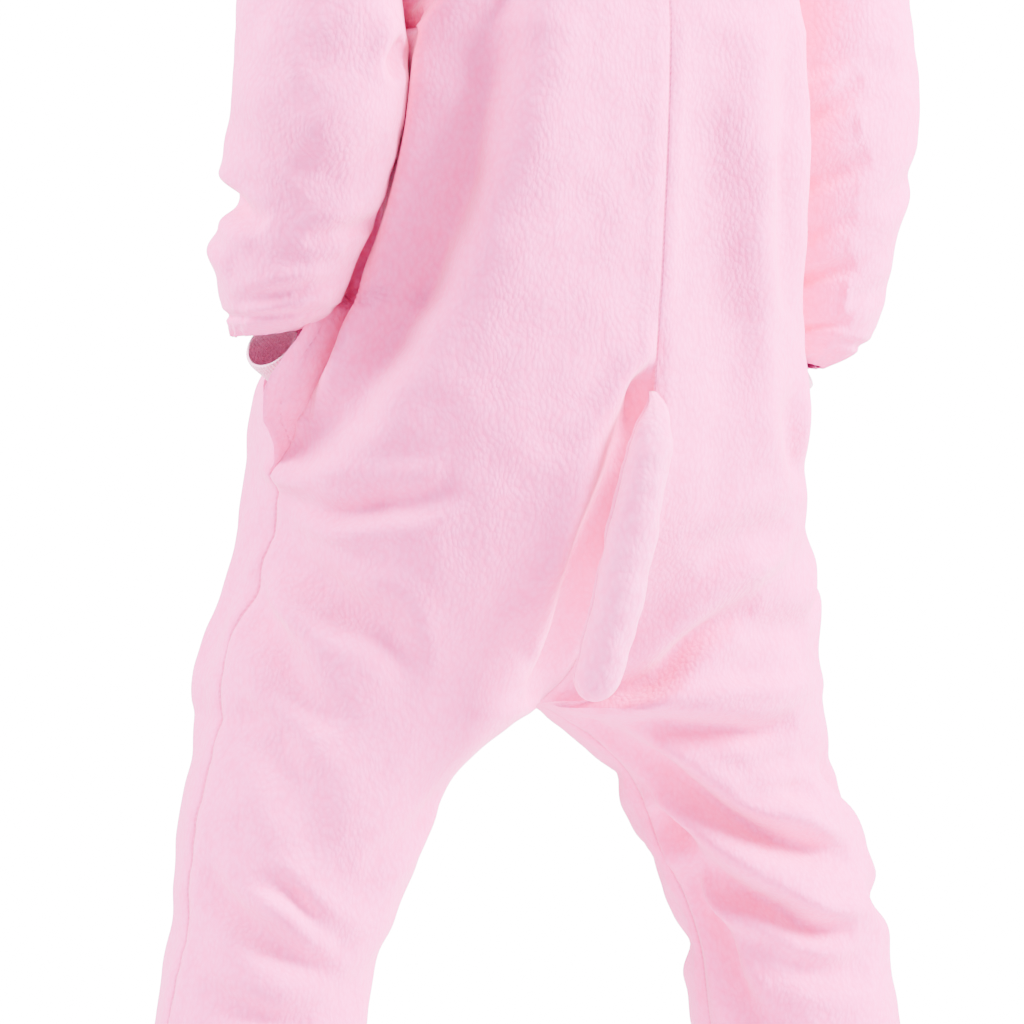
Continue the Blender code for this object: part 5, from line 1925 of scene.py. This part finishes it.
class Wiring:
    """Adds nodes to a node tree and joins them up."""

    def __init__(self, tree: bpy.types.NodeTree) -> None:
        """Keep the tree."""
        self.tree = tree

    def node(self, kind: str, **settings: object) -> bpy.types.Node:
        """Add a node.

        Args:
            kind: Its type name, without the first word.
            settings: Properties to set.

        Returns:
            The node.
        """
        made = self.tree.nodes.new("ShaderNode" + kind)
        for key, value in settings.items():
            setattr(made, key, value)
        return made

    def feed(self, node: bpy.types.Node, values: dict[str | int, object]) -> bpy.types.Node:
        """Give a node's inputs their values, or join sockets to them.

        Args:
            node: The node.
            values: A value or an output socket for each input.

        Returns:
            The same node.
        """
        for label, value in values.items():
            if isinstance(value, bpy.types.NodeSocket):
                self.tree.links.new(value, node.inputs[label])
            else:
                node.inputs[label].default_value = value
        return node

    def mark(self, name: str) -> bpy.types.NodeSocket:
        """Return the value of a mesh attribute."""
        return self.node("Attribute", attribute_name=name).outputs["Fac"]

    def noise(self, place: bpy.types.NodeSocket, scale: float, detail: float = 2.0) -> bpy.types.Node:
        """Add a cloudy noise.

        Args:
            place: Where it is read.
            scale: How fine it is.
            detail: How many finer layers it has.

        Returns:
            The noise node.
        """
        return self.feed(self.node("TexNoise"), {"Vector": place, "Scale": scale, "Detail": detail})

    def maths(self, operation: str, *values: object) -> bpy.types.NodeSocket:
        """Add a maths node.

        Args:
            operation: What it does.
            values: Its values or sockets, in order.

        Returns:
            Its result socket.
        """
        return self.feed(self.node("Math", operation=operation), dict(enumerate(values))).outputs[0]

    def ramp(
        self, value: bpy.types.NodeSocket, span: tuple[float, float], result: tuple[float, float]
    ) -> bpy.types.NodeSocket:
        """Map a range smoothly to another.

        Args:
            value: The incoming socket.
            span: Start and end of its range.
            result: What the start and the end become.

        Returns:
            The result socket.
        """
        made = self.node("MapRange", interpolation_type="SMOOTHSTEP")
        ends = {"From Min": span[0], "From Max": span[1], "To Min": result[0], "To Max": result[1]}
        return self.feed(made, {"Value": value, **ends}).outputs["Result"]

    def mix(self, share: bpy.types.NodeSocket, one: object, two: object) -> bpy.types.NodeSocket:
        """Mix two colours.

        Args:
            share: How much of the second.
            one: First colour or its socket.
            two: Second colour or its socket.

        Returns:
            The mixed colour.
        """
        made = self.node("Mix", data_type="RGBA")
        return self.feed(made, {"Factor": share, 6: one, 7: two}).outputs[2]

    def place(self) -> bpy.types.NodeSocket:
        """Return the place on the object."""
        return self.node("TexCoord").outputs["Object"]


class NapGroup(Wiring):
    """The shader node group that every plush finish shares."""

    def __init__(self) -> None:
        """Make the group once."""
        super().__init__(bpy.data.node_groups.new("plush_nap", "ShaderNodeTree"))
        for label in ("Light", "Deep", "Seam"):
            self.tree.interface.new_socket(label, in_out="INPUT", socket_type="NodeSocketColor")
        for label in ("Clumps", "Relief", "Stretch"):
            self.tree.interface.new_socket(label, in_out="INPUT", socket_type="NodeSocketFloat")
        for label, kind in (("Color", "NodeSocketColor"), ("Normal", "NodeSocketVector")):
            self.tree.interface.new_socket(label, in_out="OUTPUT", socket_type=kind)
        self.given = self.tree.nodes.new("NodeGroupInput").outputs
        self.fill()

    def pile(self) -> bpy.types.NodeSocket:
        """Build the pile up from tufts, fibres and a broad unevenness.

        Returns:
            Its height.
        """
        place = self.place()
        drift = self.noise(place, 34.0, 0.0).outputs["Color"]
        bent = self.node("VectorMath", operation="MULTIPLY_ADD")
        self.feed(bent, {0: drift, 1: (0.010, 0.010, 0.010), 2: place})
        squeeze = self.feed(self.node("CombineXYZ"), {0: 1.0, 1: 1.0, 2: self.given["Stretch"]})
        scaled = self.node("VectorMath", operation="MULTIPLY")
        scaled = self.feed(scaled, {0: bent.outputs[0], 1: squeeze.outputs[0]}).outputs[0]
        tufts = self.node("TexVoronoi", feature="F1", voronoi_dimensions="3D")
        self.feed(tufts, {"Vector": scaled, "Scale": self.given["Clumps"]})
        fibre = self.noise(scaled, 900.0, 1.0).outputs["Fac"]
        broad = self.noise(scaled, 95.0, 1.0).outputs["Fac"]
        bulk = self.maths("MULTIPLY", self.maths("SUBTRACT", 1.0, tufts.outputs["Distance"]), 0.62)
        bulk = self.maths("ADD", bulk, self.maths("MULTIPLY", fibre, 0.20))
        return self.maths("ADD", bulk, self.maths("MULTIPLY", broad, 0.42))

    def fill(self) -> None:
        """Connect the nap, the seams and the stitches, with painted shade in the pile's hollows, the seam
        grooves and the stitch dents.
        """
        pile = self.pile()
        seam, run, line = (self.mark(name) for name in ("seam", "run", "stitch"))
        wave = self.maths("SINE", self.maths("MULTIPLY", run, 2 * math.pi / STITCH_LENGTH))
        dash = self.ramp(wave, (-0.35, 0.25), (0.0, 1.0))
        gather = self.maths("SUBTRACT", 1.0, self.maths("MULTIPLY", dash, 0.42))
        groove = self.maths("MULTIPLY", self.ramp(seam, (0.0002, 0.0019), (1.0, 0.0)), gather)
        sewn = self.maths("MULTIPLY", self.ramp(line, (0.0003, 0.0011), (1.0, 0.0)), dash)
        flat = self.maths("MULTIPLY", pile, self.ramp(seam, (0.0005, 0.0045), (0.25, 1.0)))
        height = self.maths("SUBTRACT", flat, self.maths("MULTIPLY", groove, 0.9))
        height = self.maths("SUBTRACT", height, self.maths("MULTIPLY", sewn, 0.55))
        bump = self.node("Bump")
        self.feed(bump, {"Strength": 1.0, "Height": height, "Distance": self.given["Relief"]})
        # Painted shade: the colour goes to the deep colour where the pile is low, between the tufts.
        shade = self.ramp(pile, (0.25, 0.95), (0.0, 1.0))
        colour = self.mix(shade, self.given["Deep"], self.given["Light"])
        # Painted shade: the seam grooves and the stitch dents darken towards the seam colour.
        colour = self.mix(self.maths("MULTIPLY", groove, 0.55), colour, self.given["Seam"])
        colour = self.mix(self.maths("MULTIPLY", sewn, 0.45), colour, self.given["Seam"])
        result = self.tree.nodes.new("NodeGroupOutput")
        self.feed(result, {"Color": colour, "Normal": bump.outputs["Normal"]})


def new_material(name: str) -> tuple[bpy.types.Material, Wiring, bpy.types.Node]:
    """Start a material.

    Args:
        name: Its name.

    Returns:
        The material, the wiring of its tree, and its shader node.
    """
    made = bpy.data.materials.new(name)
    made.use_nodes = True
    return made, Wiring(made.node_tree), made.node_tree.nodes["Principled BSDF"]


@dataclass(frozen=True)
class PlushFinish:
    """A short-piled plush."""

    name: str
    nap: Nap
    sheen: float = 0.25
    roughness: float = 0.92

    def make(self, group: NapGroup) -> bpy.types.Material:
        """Make the material.

        Args:
            group: The shared nap group.

        Returns:
            The material.
        """
        made, wiring, shader = new_material(self.name)
        nap = wiring.node("Group", node_tree=group.tree)
        colours = {"Light": self.nap.light, "Deep": self.nap.deep, "Seam": self.nap.seam}
        wiring.feed(nap, {label: (*colour, 1.0) for label, colour in colours.items()})
        clumps = 1.0 / self.nap.clump
        wiring.feed(nap, {"Clumps": clumps, "Relief": self.nap.relief, "Stretch": self.nap.stretch})
        wiring.feed(shader, {
            "Base Color": nap.outputs["Color"],
            "Normal": nap.outputs["Normal"],
            "Roughness": self.roughness,
            "Specular IOR Level": 0.12,
            "Sheen Weight": self.sheen,
            "Sheen Roughness": 0.55,
            "Sheen Tint": (1.0, 0.90, 0.95, 1.0),
        })
        return made


@dataclass(frozen=True)
class RibFinish:
    """A ribbed knit, with painted shade between its ribs."""

    name: str
    light: tuple[float, float, float]
    deep: tuple[float, float, float]
    stitch: float = 0.0026

    def make(self) -> bpy.types.Material:
        """Make the material.

        Returns:
            The material.
        """
        made, wiring, shader = new_material(self.name)
        turns = wiring.maths("MULTIPLY", wiring.mark("run"), 2 * math.pi / self.stitch)
        wave = wiring.maths("SINE", turns)
        fuzz = wiring.noise(wiring.place(), 700.0, 3.0).outputs["Fac"]
        height = wiring.maths("MULTIPLY_ADD", wave, 0.25, fuzz)
        bump = wiring.feed(wiring.node("Bump"), {"Distance": 0.0006, "Height": height})
        # Painted shade: the colour darkens to the deep colour in the grooves between the ribs.
        colour = wiring.mix(wiring.mark("groove"), (*self.light, 1.0), (*self.deep, 1.0))
        wiring.feed(shader, {
            "Base Color": colour,
            "Normal": bump.outputs["Normal"],
            "Roughness": 0.9,
            "Specular IOR Level": 0.15,
            "Sheen Weight": 0.3,
        })
        return made


@dataclass(frozen=True)
class PlainFinish:
    """An even finish with a faint mottle, for buttons, thread and the floor."""

    name: str
    colour: tuple[float, float, float]
    roughness: float
    mottle: float = 0.03
    scale: float = 240.0

    def make(self) -> bpy.types.Material:
        """Make the material.

        Returns:
            The material.
        """
        made, wiring, shader = new_material(self.name)
        cloud = wiring.noise(wiring.place(), self.scale).outputs["Fac"]
        dark, bright = (
            (*(min(1.0, part * share) for part in self.colour), 1.0)
            for share in (1 - self.mottle, 1 + self.mottle)
        )
        wiring.feed(shader, {"Base Color": wiring.mix(cloud, dark, bright), "Roughness": self.roughness})
        return made


@dataclass(frozen=True)
class Studio:
    """The camera, the soft lights, the white surround and the pale floor."""

    target: tuple[float, float, float] = (0.0136, -0.0085, -0.703)
    azimuth: float = 148.0
    elevation: float = 2.0
    distance: float = 5.0
    frame_width: float = 0.8704
    sensor: float = 36.0
    floor_level: float = -1.4222
    floor_size: float = 3.0
    surround: float = 1.1
    backdrop: float = 17.0

    def aim(self, thing: bpy.types.Object, azimuth: float, elevation: float, distance: float) -> None:
        """Place a thing round the suit so that it faces the suit.

        Args:
            thing: The camera or a light.
            azimuth: Its direction.
            elevation: Its angle above the suit.
            distance: How far away it is.
        """
        turn, rise = math.radians(azimuth), math.radians(elevation)
        way = Vector((math.sin(turn) * math.cos(rise), -math.cos(turn) * math.cos(rise), math.sin(rise)))
        thing.location = Vector(self.target) + way * distance
        thing.rotation_euler = (-way).to_track_quat("-Z", "Y").to_euler()

    def camera(self) -> None:
        """Place the camera as in the photograph."""
        lens = bpy.data.cameras.new("camera")
        lens.sensor_width = self.sensor
        lens.lens = self.sensor * self.distance / self.frame_width
        camera = linked(lens)
        self.aim(camera, self.azimuth, self.elevation, self.distance)
        bpy.context.scene.camera = camera

    def lamp(self, name: str, place: tuple[float, float, float], size: float, power: float) -> None:
        """Add one soft area light that faces the suit.

        Args:
            name: The light's name.
            place: Its direction as the camera's is measured, its angle above the suit and its distance.
            size: Its width.
            power: Its power in watts.
        """
        light = bpy.data.lights.new(name, "AREA")
        light.energy = power
        light.shape = "SQUARE"
        light.size = size
        self.aim(linked(light), *place)

    def world(self) -> None:
        """Make the white surround, a little brighter to the eye than as a light."""
        world = bpy.data.worlds.new("studio")
        bpy.context.scene.world = world
        world.use_nodes = True
        wiring = Wiring(world.node_tree)
        seen = wiring.node("LightPath").outputs["Is Camera Ray"]
        level = wiring.feed(wiring.node("MapRange"), {
            "Value": seen, "To Min": self.surround, "To Max": self.backdrop,
        })
        wiring.feed(world.node_tree.nodes["Background"], {
            "Strength": level.outputs["Result"], "Color": (1.0, 1.0, 1.0, 1.0),
        })

    def build(self) -> None:
        """Make the whole studio."""
        self.camera()
        self.world()
        self.lamp("left", (76.0, 34.0, 3.0), 1.2, 390.0)
        self.lamp("right", (224.0, 30.0, 3.0), 1.2, 680.0)
        self.lamp("above", (150.0, 72.0, 3.2), 1.8, 150.0)
        self.lamp("front", (-20.0, 30.0, 3.4), 2.0, 60.0)
        mesh = bpy.data.meshes.new("floor")
        half = self.floor_size / 2
        corners = [(-half, -half), (half, -half), (half, half), (-half, half)]
        mesh.from_pydata([(x, y, self.floor_level) for x, y in corners], [], [(0, 1, 2, 3)])
        mesh.materials.append(PlainFinish("floor_paint", (0.86, 0.85, 0.85), 0.75, 0.01, 3.0).make())
        linked(mesh)


def cuffs(side: Side) -> tuple[RibCuff, RibCuff]:
    """Return the wrist and ankle cuffs of one side.

    Args:
        side: The wearer's side.

    Returns:
        The wrist cuff and the ankle cuff.
    """
    drop = np.array([0.0, 0.0, side.sleeve_drop])
    start, end = np.array((0.2620, 0.0140, -0.557)) - drop, np.array((0.1960, -0.0060, -0.610)) - drop
    run = (end - start) / np.linalg.norm(end - start)
    wrist = (
        (*(start + run * 0.001), 0.0266),
        (*(start + (end - start) * 0.25), 0.0238),
        (*((start + end) / 2), 0.0225),
        (*end, 0.0215),
    )
    size = dict(zip(SECTION_COLUMNS, SECTIONS[-1]))
    out, aft = size["out"], size["aft"]
    ankle = (
        (out, aft, ANKLE_LEVEL - SEAM_GAP, 0.049),
        (out + 0.003, aft, ANKLE_LEVEL - 0.030, 0.046),
        (out + 0.006, aft, ANKLE_LEVEL - 0.060, 0.044),
    )
    return (
        RibCuff("cuff_" + side.value, wrist, tuple(run), side.sign),
        RibCuff(
            "ankle_cuff_" + side.value, ankle, (0.0, 0.0, -1.0), side.sign, ribs=66, flat=(0.34, 0.066)
        ),
    )


def main() -> None:
    """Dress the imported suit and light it."""
    logging.basicConfig(level=logging.INFO, format="%(name)s %(message)s")
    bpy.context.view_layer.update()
    studio = Studio()
    studio.build()
    group = NapGroup()
    # The deep colour is painted shade between the tufts, and the seam colour painted shade in the seam
    # grooves and stitch dents.
    body = Nap(light=(0.99, 0.155, 0.53), deep=(0.97, 0.095, 0.43), seam=(0.86, 0.06, 0.29))
    plush = PlushFinish("pink_plush", body).make(group)
    # The tail's deep and seam colours are the same painted shade as the body's.
    tail_nap = Nap(
        light=(0.995, 0.19, 0.56), deep=(0.975, 0.120, 0.46), seam=(0.88, 0.08, 0.32), clump=0.0040
    )
    tail_plush = PlushFinish("tail_plush", tail_nap).make(group)
    # Both rib colours are much paler than the plush, lightened to make up for the sleeve's shadow on the
    # wrist cuffs: painted light, which the ankle cuffs share.
    rib = RibFinish("pink_rib", (0.995, 0.60, 0.79), (0.97, 0.38, 0.62)).make()
    plastic = PlainFinish("pink_plastic", (0.86, 0.45, 0.60), 0.32).make()
    thread = PlainFinish("pink_thread", (0.88, 0.42, 0.58), 0.7, 0.08, 3000.0).make()
    form = SuitForm()
    fronts, backs = {}, {}
    for side in Side:
        for face, store in ((Face.BACK, backs), (Face.FRONT, fronts)):
            panel = BodyPanel(form, side, face)
            panel.build(plush)
            store[side] = panel.made
        PocketFacing(form, side).build(plush)
        Sleeve(side).build(plush)
        HoodHalf(side).build(plush)
        for cuff in cuffs(side):
            cuff.build(rib)
    Tail(backs[Side.LEFT]).build(tail_plush)
    Placket(fronts).build(plush, plastic, thread)


if __name__ == "__main__":
    main()
